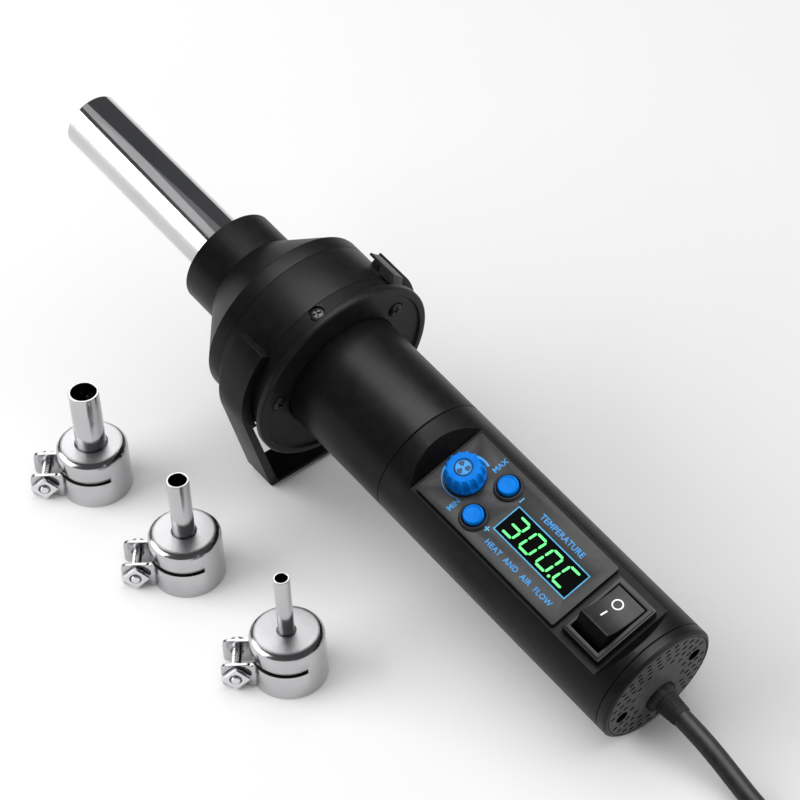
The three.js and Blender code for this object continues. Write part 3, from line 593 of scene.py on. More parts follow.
def make_gland():
    """Strain relief: a ribbed collar in the cap and a sleeve that tapers along the lead."""
    bore = CORD_D / 2 + 0.05
    profile = [(15, bore), (15, 3.9), (3.9, 4.2), (3.4, 4.5), (0.3, 4.6), (-0.7, 4.75), (-1.5, 4.5),
               (-2.0, 3.7)]
    for i in range(5):
        x = -2.3 - 1.1 * i
        r = 3.62 - 0.1 * i
        profile += [(x, r - 0.16), (x - 0.25, r - 0.16), (x - 0.3, r), (x - 0.8, r - 0.02)]
    mouth = -GLAND_OUT - 0.7
    profile += [(mouth, 3.0), (mouth, bore)]

    def lumpy(angle, x, r):
        if r > 4.3 and x < 0.5:
            return r + 0.22 * math.sin(7 * angle) + 0.12 * math.sin(13 * angle + 1)
        return r
    sleeve = turned("strain_relief", profile, 0.12, 96, shape=lumpy)
    shifted(sleeve, 0, 0, GLAND_Z)
    on_gun(sleeve, PAD_RUBBER, "rubber", "cord_gland")


# ---------------- head and air pipe


def make_air_pipe():
    rear, inner = 160, PIPE_R - PIPE_WALL
    pipe = turned("air_tube", [(rear, PIPE_R), (TIP, PIPE_R), (TIP, inner), (rear, inner)], 0.22, 160)
    on_gun(pipe, CHROME, "pipe_steel", "air_pipe")


def sector(name, x0, x1, middle):
    """Block that cuts a slot through the head's wall round its axis."""
    steps, inner, outer = 8, HEAD_R - 5, HEAD_R + 4
    angles = [middle - INTAKE_HALF + 2 * INTAKE_HALF * i / steps for i in range(steps + 1)]
    outline = [polar(outer, a) for a in angles] + [polar(inner, a) for a in angles[::-1]]
    return prism(name, outline, x0, x1, "x")


def make_head_cover():
    inner = HEAD_R - HEAD_WALL
    bore = PIPE_R + 0.3
    cover = turned("head_cover", [
        (CONE_START - 0.12, HEAD_R), (CONE_EDGE, HEAD_R), (COLLAR_START, COLLAR_R), (COLLAR_END, COLLAR_R),
        (COLLAR_END, bore), (COLLAR_START - 1, bore), (CONE_EDGE - 0.5, inner), (CONE_START - 0.1, inner),
    ], 0.12, 160)
    carve(cover, *[sector("s", CONE_START - 1, CONE_START + 2.4, a) for a in INTAKES])
    on_gun(cover, BLACK, "black_plastic", "front_cone", sharp=24)


def cross_slot(x0, depth, half, width):
    return [box("a", x0 - 1, x0 + depth, -half, half, -width / 2, width / 2),
            box("b", x0 - 1, x0 + depth, -width / 2, width / 2, -half, half)]


def screw(name, head_r, head_depth, shank_r, length):
    """Pan head with a cross recess, its face at x = 0 and its shank along +x."""
    body = turned(name, [(0.0, 0), (0.12, head_r * 0.62), (head_depth * 0.55, head_r), (head_depth, head_r),
                         (head_depth, shank_r), (length, shank_r), (length, 0)], 0.16, 64)
    carve(body, *cross_slot(0, head_depth * 0.75, head_r * 0.62, head_r * 0.26))
    return soften(body, 0.05, 2, 40)


def make_flange():
    inner = HEAD_R - HEAD_WALL
    bore = HANDLE_R + 0.12
    rear, end = FLANGE_REAR, FLANGE_END + 0.15
    flange = turned("head_flange", [
        (rear, RIM_R - 0.45), (rear + 0.45, RIM_R), (RIM_END - 0.9, RIM_R), (RIM_END, HEAD_R + 0.2),
        (RIM_END + 0.1, HEAD_R), (end, HEAD_R), (end, inner), (rear + 2, inner), (rear + 2, bore),
        (rear + 0.9, bore), (rear + 0.9, RIM_R - 2.6), (rear, RIM_R - 2.2),
    ], 0.18, 160)
    cutters = [sector("s", FLANGE_END - 2.2, FLANGE_END + 1, a) for a in INTAKES]
    for angle in FLANGE_SCREWS:
        y, z = polar(FLANGE_SCREW_R, angle)
        for r, x1 in ((2.6, rear + 1.25), (1.7, rear + 4)):
            cutters.append(prism("h", circle(r, y, z), rear - 1, x1, "x"))
    for r, low in ((2.5, HEAD_R - 1), (1.5, HEAD_R - 5)):
        cutters.append(prism("h", circle(r, SIDE_SCREW_X, 0), low, HEAD_R + 5))
    carve(flange, *cutters)
    on_gun(flange, BLACK, "black_plastic", "rear_flange", sharp=24)
    for i, angle in enumerate(FLANGE_SCREWS):
        y, z = polar(FLANGE_SCREW_R, angle)
        made = screw(f"flange_bolt_{i + 1}", 2.25, 1.0, 1.3, 6)
        turn = Matrix.Rotation(math.radians(25 + 40 * i), 4, "X")
        moved(made, Matrix.Translation((rear + 0.15, y, z)) @ turn)
        on_gun(made, DARK_STEEL, "screw_steel", f"flange_screw_{i + 1}")
    side = screw("side_bolt", 2.15, 1.0, 1.15, 3.2)
    down = Matrix.Translation((SIDE_SCREW_X, 0, HEAD_R + 0.12)) @ Matrix.Rotation(math.radians(90), 4, "Y")
    moved(side, down @ Matrix.Rotation(math.radians(20), 4, "X"))
    on_gun(side, DARK_STEEL, "screw_steel", "flange_side_screw")


def foot_outline(radius, half, depth, corner):
    """An arc round the ring, straight sides that close in, and a flat sole with round corners."""
    reach = math.hypot(half, depth)
    tangent = math.pi - math.atan2(half, depth) - math.acos(radius / reach)
    first = math.radians(ARM_ANGLE)
    steps = 40
    arc = [first + (tangent - first) * i / steps for i in range(steps + 1)]
    right = [(radius * math.sin(a), radius * math.cos(a)) for a in arc]
    last = right[-1]
    run = math.hypot(half - last[0], -depth - last[1])
    back = ((last[0] - half) / run, (last[1] + depth) / run)
    bend = []
    for i in range(9):
        t = i / 8
        a = (half + back[0] * corner, -depth + back[1] * corner)
        b = (half, -depth)
        c = (half - corner, -depth)
        bend.append(tuple(a[k] * (1 - t) ** 2 + 2 * b[k] * t * (1 - t) + c[k] * t * t for k in (0, 1)))
    side = right + bend
    return [(0, 0)] + side + [(-y, z) for y, z in side[::-1]]


def make_stand():
    inner = HEAD_R - HEAD_WALL
    x0, x1 = RING_START - 0.1, RING_END + 0.1
    ring = turned("stand_loop", [(x0, HEAD_R), (x1, HEAD_R), (x1, inner), (x0, inner)], 0.06, 160)
    depth = FOOT_DEPTH + SOLE_LAND * math.tan(RISE)
    arms = prism("arms", foot_outline(FOOT_R, FOOT_HALF, depth, 3), FOOT_START, FOOT_END, "x")
    within = foot_outline(FOOT_R - FOOT_WALL, FOOT_HALF - FOOT_WALL, depth - FOOT_WALL, 1.4)
    hollow = prism("hollow", within, FOOT_START - 1, FOOT_END + 1, "x")
    carve(hollow, box("top", 0, 300, -60, 60, -HEAD_R * 0.45, 60))
    sole = box("sole", -20, 30, -40, 40, -20, 0)
    moved(sole, Matrix.Translation((FOOT_START, 0, -FOOT_DEPTH)) @ Matrix.Rotation(RISE, 4, "Y"))
    rear = prism("rear", circle(HEAD_R + 0.4, count=160), FOOT_START - 1, RING_START + 0.6, "x")
    inside = prism("inside", circle(HEAD_R - 0.6, count=160), RING_START, FOOT_END + 1, "x")
    carve(arms, hollow, sole, rear, inside)
    soften(arms, 0.35, 3, 40)
    weld(ring, arms)
    done(ring, GUN, "stand", BLACK, "black_plastic", "stand_ring", sharp=26)


def make_clip():
    """Hanging strip on a wedge at its rear end, turned down beside the ring."""
    half = 2.6
    root, under, top = HEAD_R + 0.4, HEAD_R + 2.4, HEAD_R + 3.2
    side = [(135.7, root), (142.2, root), (142.8, under), (148, under), (148, top), (137.6, top)]
    clip = prism("hang_strip", rounded(side, 0.25), -half, half, "y")
    soften(clip, 0.2, 3, 40)
    moved(clip, Matrix.Rotation(math.radians(45), 4, "X"))
    done(clip, GUN, "stand", SWITCH_BLACK, "black_plastic", "hanging_clip")


# ---------------- handle


def make_barrels():
    inner = HANDLE_R - HANDLE_WALL
    start, end = HANDLE_SEAM + 0.1, FLANGE_REAR + 4
    wall = [(start, HANDLE_R), (end, HANDLE_R), (end, inner), (start, inner)]
    front = turned("front_grip", wall, 0.3, 160)
    on_gun(front, BLACK, "black_plastic", "front_barrel")
    start, end = CAP_END + 0.1, HANDLE_SEAM - 0.1
    rear = turned("rear_grip", [(start, HANDLE_R), (end, HANDLE_R), (end, 0), (start, 0)], 0.3, 160)
    bore = prism("bore", circle(inner, count=96), 0, 100, "x")
    carve(bore, box("floor", RECESS_START - 4.5, RECESS_END + 4.5, -20, 20, FLOOR_Z - 1.6, 20),
          box("flat", PAD_START - 2, PAD_END + 2, -20, 20, -20, -PAD_DEPTH + 1.6))
    above = 25
    run = (above - FLOOR_Z) * LEAN
    recess = prism("recess", [(RECESS_START, FLOOR_Z), (RECESS_END, FLOOR_Z), (RECESS_END + run, above),
                              (RECESS_START - run, above)], -30, 30, "y")
    carve(rear, bore, recess,
          box("pads", PAD_START, PAD_END, -20, 20, -25, -PAD_DEPTH),
          box("window", PANEL_START + 2.2, PANEL_END - 2, -9.5, 9.5, 5, 20),
          box("well", SWITCH_START + 1, SWITCH_END - 1, -9.3, 9.3, 5, 20))
    soften(rear, 0.22, 2, 24)

    # The steep ramp faces at the ends of the recess take the darker black, as painted shade
    def shaded_ramp_face(face):
        steep = abs(face.normal.x) > 0.55 and face.normal.z > 0.3
        near = RECESS_START - 6 < face.center.x < RECESS_END + 6
        return int(steep and near and face.center.z > FLOOR_Z - 0.1)
    looks_of(rear, (BLACK, PAINTED_SHADE_BLACK), shaded_ramp_face)
    on_gun(rear, BLACK, "black_plastic", "rear_barrel", sharp=24)


def make_pads():
    """Round rubber feet with a raised rim and rings."""
    profile = [(0, 0), (0, PAD_R), (1.0, PAD_R), (1.0, PAD_R - 0.7), (0.7, PAD_R - 0.9),
               (0.7, PAD_R - 1.9), (0.95, PAD_R - 2.1), (0.95, PAD_R - 2.9), (0.7, PAD_R - 3.1), (0.7, 0)]
    for i, side in enumerate((-1, 1)):
        pad = turned(f"rubber_foot_{i + 1}", [(-PAD_DEPTH - 0.3 - h, r) for h, r in profile], 0.14, 96, "z")
        shifted(pad, PAD_X, side * PAD_Y, 0)
        on_gun(pad, PAD_RUBBER, "rubber", f"grip_pad_{i + 1}")


def make_cap():
    flat = HANDLE_R - CAP_BEVEL - 0.35
    cap = turned("vent_cap", [
        (0.0, 0), (0.0, flat - 0.45), (0.4, flat - 0.4), (0.4, flat - 0.05), (0.05, flat),
        (0.05, HANDLE_R - CAP_BEVEL), (CAP_BEVEL, HANDLE_R), (CAP_END - 0.1, HANDLE_R), (CAP_END - 0.1, 0),
    ], 0.14, 160)
    cutters = []
    rings = ((16.1, 30), (13.9, 26), (11.7, 22), (9.3, 14))
    for r, count in rings:
        for i in range(count):
            y, z = polar(r, (i + 0.5) * 360 / count)
            near_screw = math.hypot(abs(y) - CAP_SCREW_Y, z) < 3.3
            near_gland = math.hypot(y, z - GLAND_Z) < 6.6
            if not near_screw and not near_gland:
                cutters.append(box("v", -1, 2.6, y - 0.74, y + 0.74, z - 0.42, z + 0.42))
    vents = merged("vents", cutters)
    holes = [prism("h", circle(2.0, side * CAP_SCREW_Y, 0), -1, 5, "x") for side in (-1, 1)]
    entry = prism("e", circle(4.85, 0, GLAND_Z), -1, 5, "x")
    carve(cap, vents, *holes, entry)
    soften(cap, 0.06, 1, 40)

    def on_rim(face):
        out = math.hypot(face.center.y, face.center.z)
        return int(face.center.x > CAP_BEVEL * 0.5 or out > HANDLE_R - 0.9)
    looks_of(cap, (CAP_GREY, BLACK), on_rim)
    on_gun(cap, CAP_GREY, "black_plastic", "end_cap", sharp=24)
    for i, side in enumerate((-1, 1)):
        made = screw(f"cap_bolt_{i + 1}", 1.6, 1.0, 1.1, 11)
        shifted(made, 1.9, side * CAP_SCREW_Y, 0)
        on_gun(made, DARK_STEEL, "screw_steel", f"end_cap_screw_{i + 1}")


# ---------------- panel


def make_panel():
    outline = rounded(rectangle(PANEL_START, PANEL_END, -PANEL_HALF, PANEL_HALF), 0.8)
    panel = prism("panel_plate", outline, FLOOR_Z + 0.3, PANEL_TOP)
    holes = [prism("h", circle(BUTTON_R + 0.35, BUTTON_X, side * BUTTON_Y), 10, 20) for side in (-1, 1)]
    carve(panel, *holes, prism("k", circle(3.5, KNOB_X, 0), 10, 20),
          box("d", DISPLAY_START, DISPLAY_END, -DISPLAY_HALF, DISPLAY_HALF, 10, 20))
    soften(panel, 0.1, 2)
    on_gun(panel, PANEL_GREY, "panel_plastic", "control_panel")
    for name, side in (("plus", 1), ("minus", -1)):
        hole = BUTTON_R + 0.35
        bezel = turned(f"{name}_bezel", [
            (PANEL_TOP - 0.3, hole), (PANEL_TOP + 0.75, hole + 0.05), (PANEL_TOP + 1.05, hole + 0.35),
            (PANEL_TOP + 1.0, BEZEL_R - 0.45), (PANEL_TOP + 0.25, BEZEL_R), (PANEL_TOP - 0.3, BEZEL_R),
        ], 0.16, 96, "z")
        shifted(bezel, BUTTON_X, side * BUTTON_Y, 0)
        on_gun(bezel, PANEL_GREY, "panel_plastic")


def arc_band(name, r0, r1, start, end, z):
    """Printed arc whose width grows from r0 at its start to r1 at its end."""
    steps = 60
    inner, outer = [], []
    for i in range(steps + 1):
        t = i / steps
        angle = start + (end - start) * t
        x, y = polar(1, angle)
        width = 0.12 + (r1 - r0) * t
        inner.append((KNOB_X + x * r0, y * r0))
        outer.append((KNOB_X + x * (r0 + width), y * (r0 + width)))
    return prism(name, inner + outer[::-1], z, z + 0.05)


def label(name, text, size, x, y, across=False, spacing=1.0):
    """Raised print on the panel. It reads towards the tail, or towards -y when across is set."""
    data = bpy.data.curves.new(name, "FONT")
    data.body = text
    data.size = size
    data.align_x = "CENTER"
    data.align_y = "CENTER"
    data.extrude = 0.015
    data.offset = 0.02 * size
    data.space_character = spacing
    data.resolution_u = 3
    draft = added(name, data)
    mesh = bpy.data.meshes.new_from_object(draft.evaluated_get(bpy.context.evaluated_depsgraph_get()))
    bpy.data.objects.remove(draft)
    made = added(name, mesh)
    mesh.materials.clear()
    read, up = ((0, -1, 0), (1, 0, 0)) if across else ((-1, 0, 0), (0, -1, 0))
    turn = Matrix((read, up, (0, 0, 1))).transposed().to_4x4()
    moved(made, Matrix.Translation((x, y, PANEL_TOP + 0.016)) @ turn)
    on_gun(made, PRINT_BLUE, "blue_plastic")


def make_print():
    z = PANEL_TOP + 0.002
    label("print_min", "MIN", 2.3, 72.0, 7.9, across=True)
    label("print_max", "MAX", 2.3, 71.9, -9.0, across=True)
    label("print_temperature", "TEMPERATURE", 2.5, 44.4, -7.2, spacing=1.05)
    label("print_heat", "HEAT  AND  AIR  FLOW", 2.3, 44.7, 8.5, spacing=1.08)
    minus = box("print_minus", 59.85, 60.25, -7.3, -5.5, z, z + 0.04)
    on_gun(minus, PALE_BLUE, "blue_plastic")
    strokes = [box("a", 60.1, 60.5, 5.1, 6.9, z, z + 0.04), box("b", 59.4, 61.2, 5.8, 6.2, z, z + 0.042)]
    plus = merged("print_plus", strokes)
    on_gun(plus, PALE_BLUE, "blue_plastic")
    dial = arc_band("print_dial", KNOB_R + 0.75, KNOB_R + 1.3, -34, 196, z)
    on_gun(dial, PRINT_BLUE, "blue_plastic")


SEGMENTS = {"a": (0, 1, 1, 1), "b": (1, 1, 1, 0), "c": (1, 0, 1, -1), "d": (0, -1, 1, -1),
            "e": (0, 0, 0, -1), "f": (0, 1, 0, 0), "g": (0, 0, 1, 0)}
READING = ("abcdg", "abcdef", "abcdef", "adef")


def segment(x0, y0, x1, y1, width):
    """One bar of a digit with pointed ends, in display coordinates."""
    start, end = Vector((x0, y0)), Vector((x1, y1))
    along = (end - start).normalized()
    side = Vector((-along.y, along.x)) * width / 2
    gap = along * 0.16
    tip = along * (width / 2 + 0.16)
    outline = [start + gap, start + tip + side, end - tip + side, end - gap, end - tip - side,
               start + tip - side]
    return prism("bar", [tuple(p) for p in outline], 0, 0.05)


def make_display():
    x0, x1, half = DISPLAY_START, DISPLAY_END, DISPLAY_HALF
    window = box("window_film", x0 + 0.1, x1 - 0.1, -half + 0.1, half - 0.1,
                 PANEL_TOP - 0.9, PANEL_TOP - 0.12)
    soften(window, 0.05, 1)
    on_gun(window, GLOSS_BLACK, "display_window", "display_window")
    outer = rectangle(x0 - 0.3, x1 + 0.3, -half - 0.3, half + 0.3)
    border = prism("print_border", outer, PANEL_TOP - 0.05, PANEL_TOP + 0.03)
    carve(border, box("b", x0 + 0.05, x1 - 0.05, -half + 0.05, half - 0.05, 10, 20))
    on_gun(border, PALE_BLUE, "blue_plastic")
    pitch, wide, tall, bar, slant = 6.75, 3.9, 6.2, 0.72, 0.13
    first, floor = DISPLAY_END - 4.0, PANEL_TOP - 0.115
    lit, unlit = [], []
    for place, bars in enumerate(READING):
        for key, (ax, ay, bx, by) in SEGMENTS.items():
            ends = []
            for u, v in ((ax, ay), (bx, by)):
                py = v * tall / 2
                ends += [(u - 0.5) * wide + slant * py, py]
            piece = segment(*ends, bar)
            moved(piece, Matrix(((-1, 0, 0, first - place * pitch), (0, -1, 0, 0.1),
                                 (0, 0, 1, floor), (0, 0, 0, 1))))
            (lit if key in bars else unlit).append(piece)
    dot = prism("dot", circle(0.45, count=24), 0, 0.05)
    spot = first - 2 * pitch - wide / 2 - 1.25
    shifted(dot, spot, tall / 2 + 0.1, floor)
    on_gun(merged("lit_bars", lit + [dot]), DIGITS, "display_window")
    on_gun(merged("unlit_bars", unlit), UNLIT, "display_window")


def make_knob():
    ribs = 14

    def grip(angle, z, r):
        if r < KNOB_R - 1.3 or z < KNOB_LOW + 1.4:
            return r
        wave = 0.5 + 0.5 * math.cos(ribs * angle)
        return r - 0.5 * (1 - wave ** 3)
    low, top = KNOB_LOW, KNOB_TOP
    body = turned("air_dial", [
        (low, 0), (low, KNOB_R), (low + 1.2, KNOB_R), (low + 1.5, KNOB_R), (top - 1.5, KNOB_R - 0.2),
        (top - 0.35, KNOB_R - 0.7), (top - 0.1, KNOB_R - 1.5), (top - 0.1, 2.75), (top - 0.5, 2.6),
        (top - 0.5, 0),
    ], 0.3, 280, "z", grip)
    shifted(body, KNOB_X, 0, 0)
    carve(body, prism("bore", circle(2.2, KNOB_X, 0), low - 1, top - 2))
    done(body, HANDLE, "knob", BLUE, "blue_plastic", "airflow_knob", sharp=40)
    for name, r, z0, z1, corner, look in (("dial_insert", 2.55, top - 0.8, top - 0.25, 0.1, DIAL_DARK),
                                          ("dial_disc", 2.2, top - 0.4, top - 0.2, 0.05, PRINT_BLUE)):
        disc = turned(name, [(z0, 0), (z0, r), (z1, r), (z1, 0)], corner, 64, "z")
        shifted(disc, KNOB_X, 0, 0)
        done(disc, HANDLE, "knob", look, "blue_plastic")
    blades = []
    for i in range(3):
        blade = []
        for r, lead in ((0.5, -20), (1.2, -34), (1.9, -36), (2.1, -10), (1.95, 22), (1.2, 26), (0.5, 26)):
            x, y = polar(r, i * 120 + lead)
            blade.append((KNOB_X + x, y))
        blades.append(prism("blade", rounded(blade, 0.25), top - 0.3, top - 0.12))
    done(merged("dial_mark", blades), HANDLE, "knob", DIAL_DARK, "blue_plastic")


def make_buttons():
    top = BUTTON_TOP
    profile = [(12.9, 0), (12.9, BUTTON_R), (top - 0.4, BUTTON_R), (top, BUTTON_R - 0.3),
               (top, BUTTON_R - 0.55), (top - 0.2, BUTTON_R - 0.7), (top - 0.2, 0)]
    for name, side in (("plus", 1), ("minus", -1)):
        key = turned(f"{name}_key", profile, 0.1, 96, "z")
        shifted(key, BUTTON_X, side * BUTTON_Y, 0)
        done(key, HANDLE, name, BLUE, "blue_plastic", f"{name}_button")


def make_switch():
    step = 0.55
    x0, x1, half, top, wall = SWITCH_START, SWITCH_END, SWITCH_HALF, SWITCH_TOP, SWITCH_WALL
    low = prism("switch_rim", rounded(rectangle(x0, x1, -half, half), 0.35), FLOOR_Z + 0.1, top - 0.3)
    inset = rectangle(x0 + step, x1 - step, -half + step, half - step)
    high = prism("lip", rounded(inset, 0.3), FLOOR_Z + 0.2, top)
    body = box("body", x0 + 1.3, x1 - 1.3, -half + 1.5, half - 1.5, 2, FLOOR_Z + 1)
    weld(low, high, body)
    carve(low, box("well", x0 + wall, x1 - wall, -half + wall, half - wall, 6, 20))
    soften(low, 0.13, 2)
    on_gun(low, SWITCH_BLACK, "switch_plastic", "switch_frame")
    steps, dip = 12, 1.25
    outline = [(CREST - 2 * CREST * i / steps, CREST_RISE - dip * (1 - (1 - 2 * i / steps) ** 2))
               for i in range(steps + 1)]
    foot, inner = ROCKER_FOOT, ROCKER_FOOT - 1.2
    outline += [(-foot, 0.3), (-inner, -ROCKER_DROP), (inner, -ROCKER_DROP), (foot, 0.3)]
    rocker = prism("rocker_key", outline, x0 + wall + 0.3, x1 - wall - 0.3, "x")
    soften(rocker, 0.3, 3, 40)
    # Faces of the rocker that do not face up take the darker black, as painted shade on its sides
    looks_of(rocker, (SWITCH_BLACK, PAINTED_SHADE_BLACK), lambda face: int(face.normal.z < 0.6))
    tip = Matrix.Translation((0, 0, PIVOT)) @ Matrix.Rotation(math.radians(TILT), 4, "X")
    moved(rocker, tip)
    done(rocker, HANDLE, "rocker", SWITCH_BLACK, "switch_plastic", "switch_rocker")
    for name, x, y, ring in (("switch_mark_off", 18.6, -2.7, True), ("switch_mark_on", 18.85, 2.1, False)):
        rise = CREST_RISE - dip * (1 - (y / CREST) ** 2)
        slope = math.atan(2 * dip * y / CREST ** 2)
        if ring:
            made = prism(name, circle(1.66), -0.1, 0.14)
            carve(made, prism("r", circle(1.26), -1, 1))
        else:
            made = box(name, -0.24, 0.24, -1.25, 1.25, -0.1, 0.12)
        flat = Matrix.Translation((x, y, rise)) @ Matrix.Rotation(slope, 4, "X")
        moved(made, tip @ flat)
        done(made, HANDLE, "rocker", WHITE, "switch_plastic")


# ---------------- nozzles


def make_nozzle(size):
    bore, r, height = NOZZLES[size]
    low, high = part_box(f"{size}_nozzle_pipe")
    centre = Vector(((low.x + high.x) / 2, (low.y + high.y) / 2, 0))
    ear_side = Vector(joints[f"{size}_screw_turn"]["axis"]).normalized()
    up = Vector((0, 0, 1))
    where = placed(ear_side.cross(up), up, centre)
    body = f"{size}_nozzle"
    fillet = 2.3
    arc = [(CUP_HEIGHT - fillet + fillet * math.sin(a), CUP_R - fillet + fillet * math.cos(a))
           for a in (i * math.pi / 16 for i in range(9))]
    inner = CUP_R - CUP_WALL
    seat = CUP_HEIGHT - CUP_WALL
    cup = turned(f"{size}_socket", [
        (0, CUP_R), *arc, (CUP_HEIGHT, r + 0.5), (CUP_HEIGHT - 0.3, r + 0.2), (CUP_HEIGHT - 0.35, r + 0.05),
        (seat, r + 0.05), (seat, inner - 1.2), (seat - 1.2, inner), (0, inner),
    ], 0.12, 128, "z")
    inside = EAR_Y - EAR_THICK / 2
    half = 123                         # degrees that the slot runs each way from the ears
    reach = 20                         # past the cup's wall
    wedge = [(0, 0)] + [(reach * math.cos(math.radians(a)), reach * math.sin(math.radians(a)))
                        for a in range(-half, half + 1, 3)]
    slot = prism("slot", wedge, SLOT_LOW - 0.1, SLOT_HIGH + 0.35)
    carve(slot, prism("core", circle(inner - 0.6), -1, 30))
    carve(cup, slot, box("split", 0, 20, -inside, inside, -1, SLOT_HIGH))
    ears = []
    ear_low, ear_top = 0.5, SLOT_LOW - 0.4
    for side in (-1, 1):
        y0 = side * EAR_Y - EAR_THICK / 2
        middle = y0 + EAR_THICK / 2
        plate = [(EAR_ROOT, ear_low), (EAR_TIP, ear_low), (EAR_TIP, ear_top), (EAR_ROOT, ear_top)]
        tip = [p for p in rounded(plate, 1.6, 6) if p[0] > EAR_ROOT + 1]
        plate = [(EAR_ROOT, ear_low), *tip, (EAR_ROOT, ear_top)]
        ear = prism("ear", plate, y0, y0 + EAR_THICK, "y")
        carve(ear, prism("hole", circle(1.9, CLAMP_X, CLAMP_Z), -20, 20, "y"))
        fold = prism("fold", [
            (EAR_ROOT - 0.2, y0), (EAR_ROOT + 2.3, y0 + side * 0.05), (EAR_ROOT + 2.3, y0 + EAR_THICK),
            (EAR_ROOT + 1.2, middle + side * (EAR_THICK / 2 + 0.55)),
            (EAR_ROOT - 0.4, middle + side * EAR_THICK * 0.5),
        ], ear_low, ear_top)
        ears += [ear, fold]
    weld(cup, *ears)
    soften(cup, 0.12, 2, 40)

    def top_or_inside(face):
        x, y, z = face.center
        if z > CUP_HEIGHT - 0.2 and face.normal.z > 0.93:
            return 1
        return 2 if math.hypot(x, y) < inner + 0.15 and z < seat + 0.05 and abs(y) < inner else 0
    looks_of(cup, (NOZZLE, NOZZLE_TOP, SCALED_STEEL), top_or_inside)
    done(cup, where, body, NOZZLE, "nozzle_steel", f"{size}_nozzle_cup", sharp=30)
    tube = turned(f"{size}_outlet", [
        (seat - 0.1, r), (height, r), (height, bore), (seat - 2.4, bore), (seat - 2.4, r + 1.4),
        (seat - 0.4, r + 1.4), (seat - 0.4, r),
    ], 0.14, 96, "z")
    done(tube, where, body, NOZZLE_TUBE, "nozzle_steel", f"{size}_nozzle_pipe")
    thread = [point for i in range(16) for point in ((-5.2 + 0.75 * i, 1.32), (-4.85 + 0.75 * i, 1.5))]
    head = [(-7.4, 0), (-7.4, 2.3), (-7.0, 2.7), (-5.6, 2.7), (-5.6, 1.5)]
    bolt = turned(f"{size}_bolt", head + thread + [(7.3, 1.2), (7.4, 0)], 0.08, 64)
    carve(bolt, box("slot", -8, -6.7, -4, 4, -0.4, 0.4))
    upright = Matrix.Translation((CLAMP_X, 0, CLAMP_Z)) @ Matrix.Rotation(math.radians(90), 4, "Z")
    moved(bolt, upright)
    done(bolt, where, f"{size}_screw", SCREW_STEEL, "nozzle_steel", f"{size}_clamp_screw")
    nut = box(f"{size}_nut", -2.9, 2.9, 5.4, 6.9, -2.9, 2.9)
    carve(nut, prism("hole", circle(1.75), 0, 12, "y"))
    soften(nut, 0.22, 2)
    moved(nut, Matrix.Translation((CLAMP_X, 0, CLAMP_Z)) @ Matrix.Rotation(math.radians(45), 4, "Y"))
    done(nut, where, body, SCREW_STEEL, "nozzle_steel", f"{size}_clamp_nut")


# ---------------- inside


def paint_inside():
    """Looks for the CAD pieces that stay as they are, inside the gun."""
    looks = {
        "heater_core": CERAMIC, "heater_coil": NICHROME, "mica_tube": MICA, "thermocouple": SCREW_STEEL,
        "fan_housing": BLACK, "motor_mount": DARK_STEEL, "fan_motor": SCREW_STEEL,
        "fan_impeller": SWITCH_BLACK, "control_board": BOARD, "power_board": BOARD,
        "smoothing_capacitor": SWITCH_BLACK, "triac_heatsink": ALUMINIUM, "cord_clamp": BLACK,
        "potentiometer": ALUMINIUM,
        "potentiometer_shaft": ALUMINIUM, "plus_tact_switch": SWITCH_BLACK,
        "minus_tact_switch": SWITCH_BLACK, "display_block": SWITCH_BLACK,
    }
    for name, look in looks.items():
        for place in frame["nodes"][name].material_slots:
            place.material = look


# ---------------- stage and light


def make_stage():
    size = 6.0
    mesh = bpy.data.meshes.new("floor")
    mesh.from_pydata([(x, y, 0) for x, y in rectangle(-size, size, -size, size)], [], [(0, 1, 2, 3)])
    floor = added("floor", mesh)
    pale = Look("pale_floor", specular=0.0)
    pale.colours(pale.noise(3), (0.78, 0.78, 0.78), (0.82, 0.82, 0.82))
    pale.gloss(pale.noise(2), 0.9, 1.0)
    floor.data.materials.append(pale.material)
    return floor


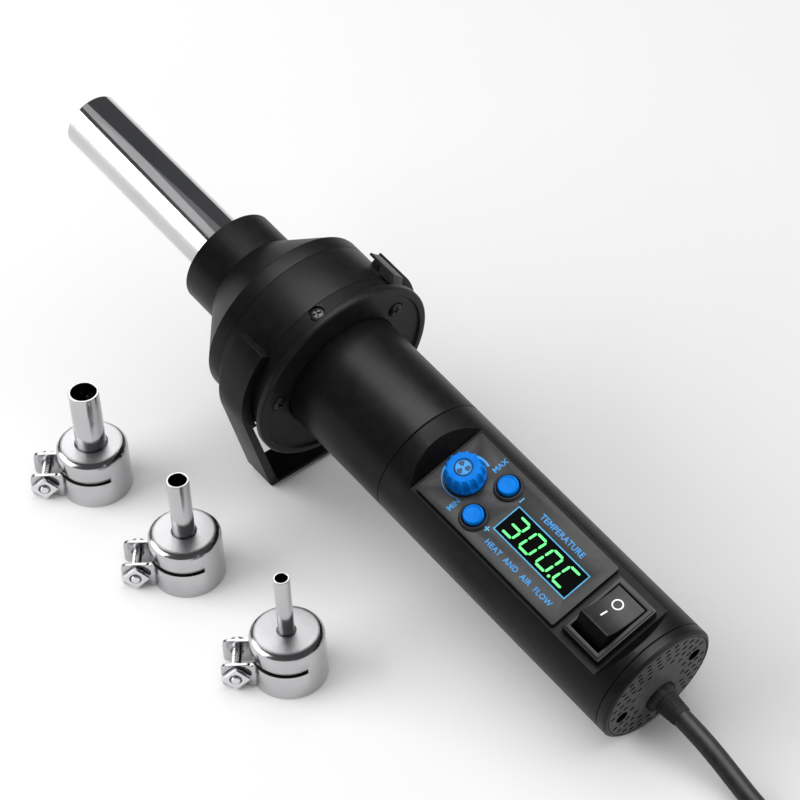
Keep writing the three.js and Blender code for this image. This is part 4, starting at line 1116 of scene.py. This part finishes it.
def soft_light(name, towards, distance, size, radiance, receivers):
    """Softbox that is seen with this radiance from the object, lighting only the pieces in receivers."""
    direction = Vector(towards).normalized()
    data = bpy.data.lights.new(name, "AREA")
    data.shape = "RECTANGLE"
    data.size, data.size_y = size
    data.energy = radiance * math.pi * size[0] * size[1]
    made = added(name, data)
    made.location = direction * distance
    made.rotation_euler = direction.to_track_quat("Z", "Y").to_euler()
    lit = bpy.data.collections.new(name + "_lights")
    for obj in receivers:
        lit.objects.link(obj)
    made.light_linking.receiver_collection = lit


def make_light(floor):
    """White floor, bright metal and dark plastic, each under softboxes of its own."""
    scene.view_settings.view_transform = "Standard"
    world = bpy.data.worlds.new("studio")
    scene.world = world
    world.use_nodes = True
    back = world.node_tree.nodes["Background"]
    back.inputs["Color"].default_value = (0.96, 0.98, 1, 1)
    back.inputs["Strength"].default_value = 0.09
    pieces = [obj for obj in scene.objects if obj.type in {"MESH", "CURVE"} and obj is not floor]
    steel = {look.name for look in (CHROME, NOZZLE, NOZZLE_TUBE, NOZZLE_TOP, SCREW_STEEL)}
    metals = [obj for obj in pieces if obj.data.materials and obj.data.materials[0].name in steel]
    nozzles = [obj for obj in metals if obj.name.split("_")[0] in NOZZLES]
    plastics = [obj for obj in pieces if obj not in metals]
    pipe = [obj for obj in metals if obj not in nozzles]
    soft_light("key", (-0.55, -0.75, 0.42), 1.7, (1.8, 1.4), 4.3, [floor])
    soft_light("metal_key", (-0.55, -0.75, 0.42), 1.7, (1.8, 1.4), 3.4, metals)
    soft_light("strip", (0.05, 0.16, 1.0), 1.35, (1.0, 1.15), 8.5, plastics)
    soft_light("ceiling", (0, 0, 1), 2.2, (4, 4), 1.5, [floor])
    soft_light("back_panel", (-0.58, 0.45, 0.67), 1.4, (1.1, 1.1), 2.3, nozzles)
    soft_light("edge", (0.84, 0.45, 0.30), 1.3, (0.9, 0.5), 4.5, plastics)
    soft_light("pipe_near", (-0.43, -0.47, 1.5), 1.63, (1.6, 0.62), 0.45, pipe)
    soft_light("pipe_far", (-0.43, 0.155, 1.5), 1.57, (1.6, 0.59), 0.16, pipe)


# ---------------- build

make_camera()
lead, lead_points = make_cord()
tie = make_tie()
plug, contacts = make_plug()
make_gland()
make_air_pipe()
make_head_cover()
make_flange()
make_stand()
make_clip()
make_barrels()
make_pads()
make_cap()
make_panel()
make_print()
make_display()
make_knob()
make_buttons()
make_switch()
for size in NOZZLES:
    make_nozzle(size)
paint_inside()
make_light(make_stage())
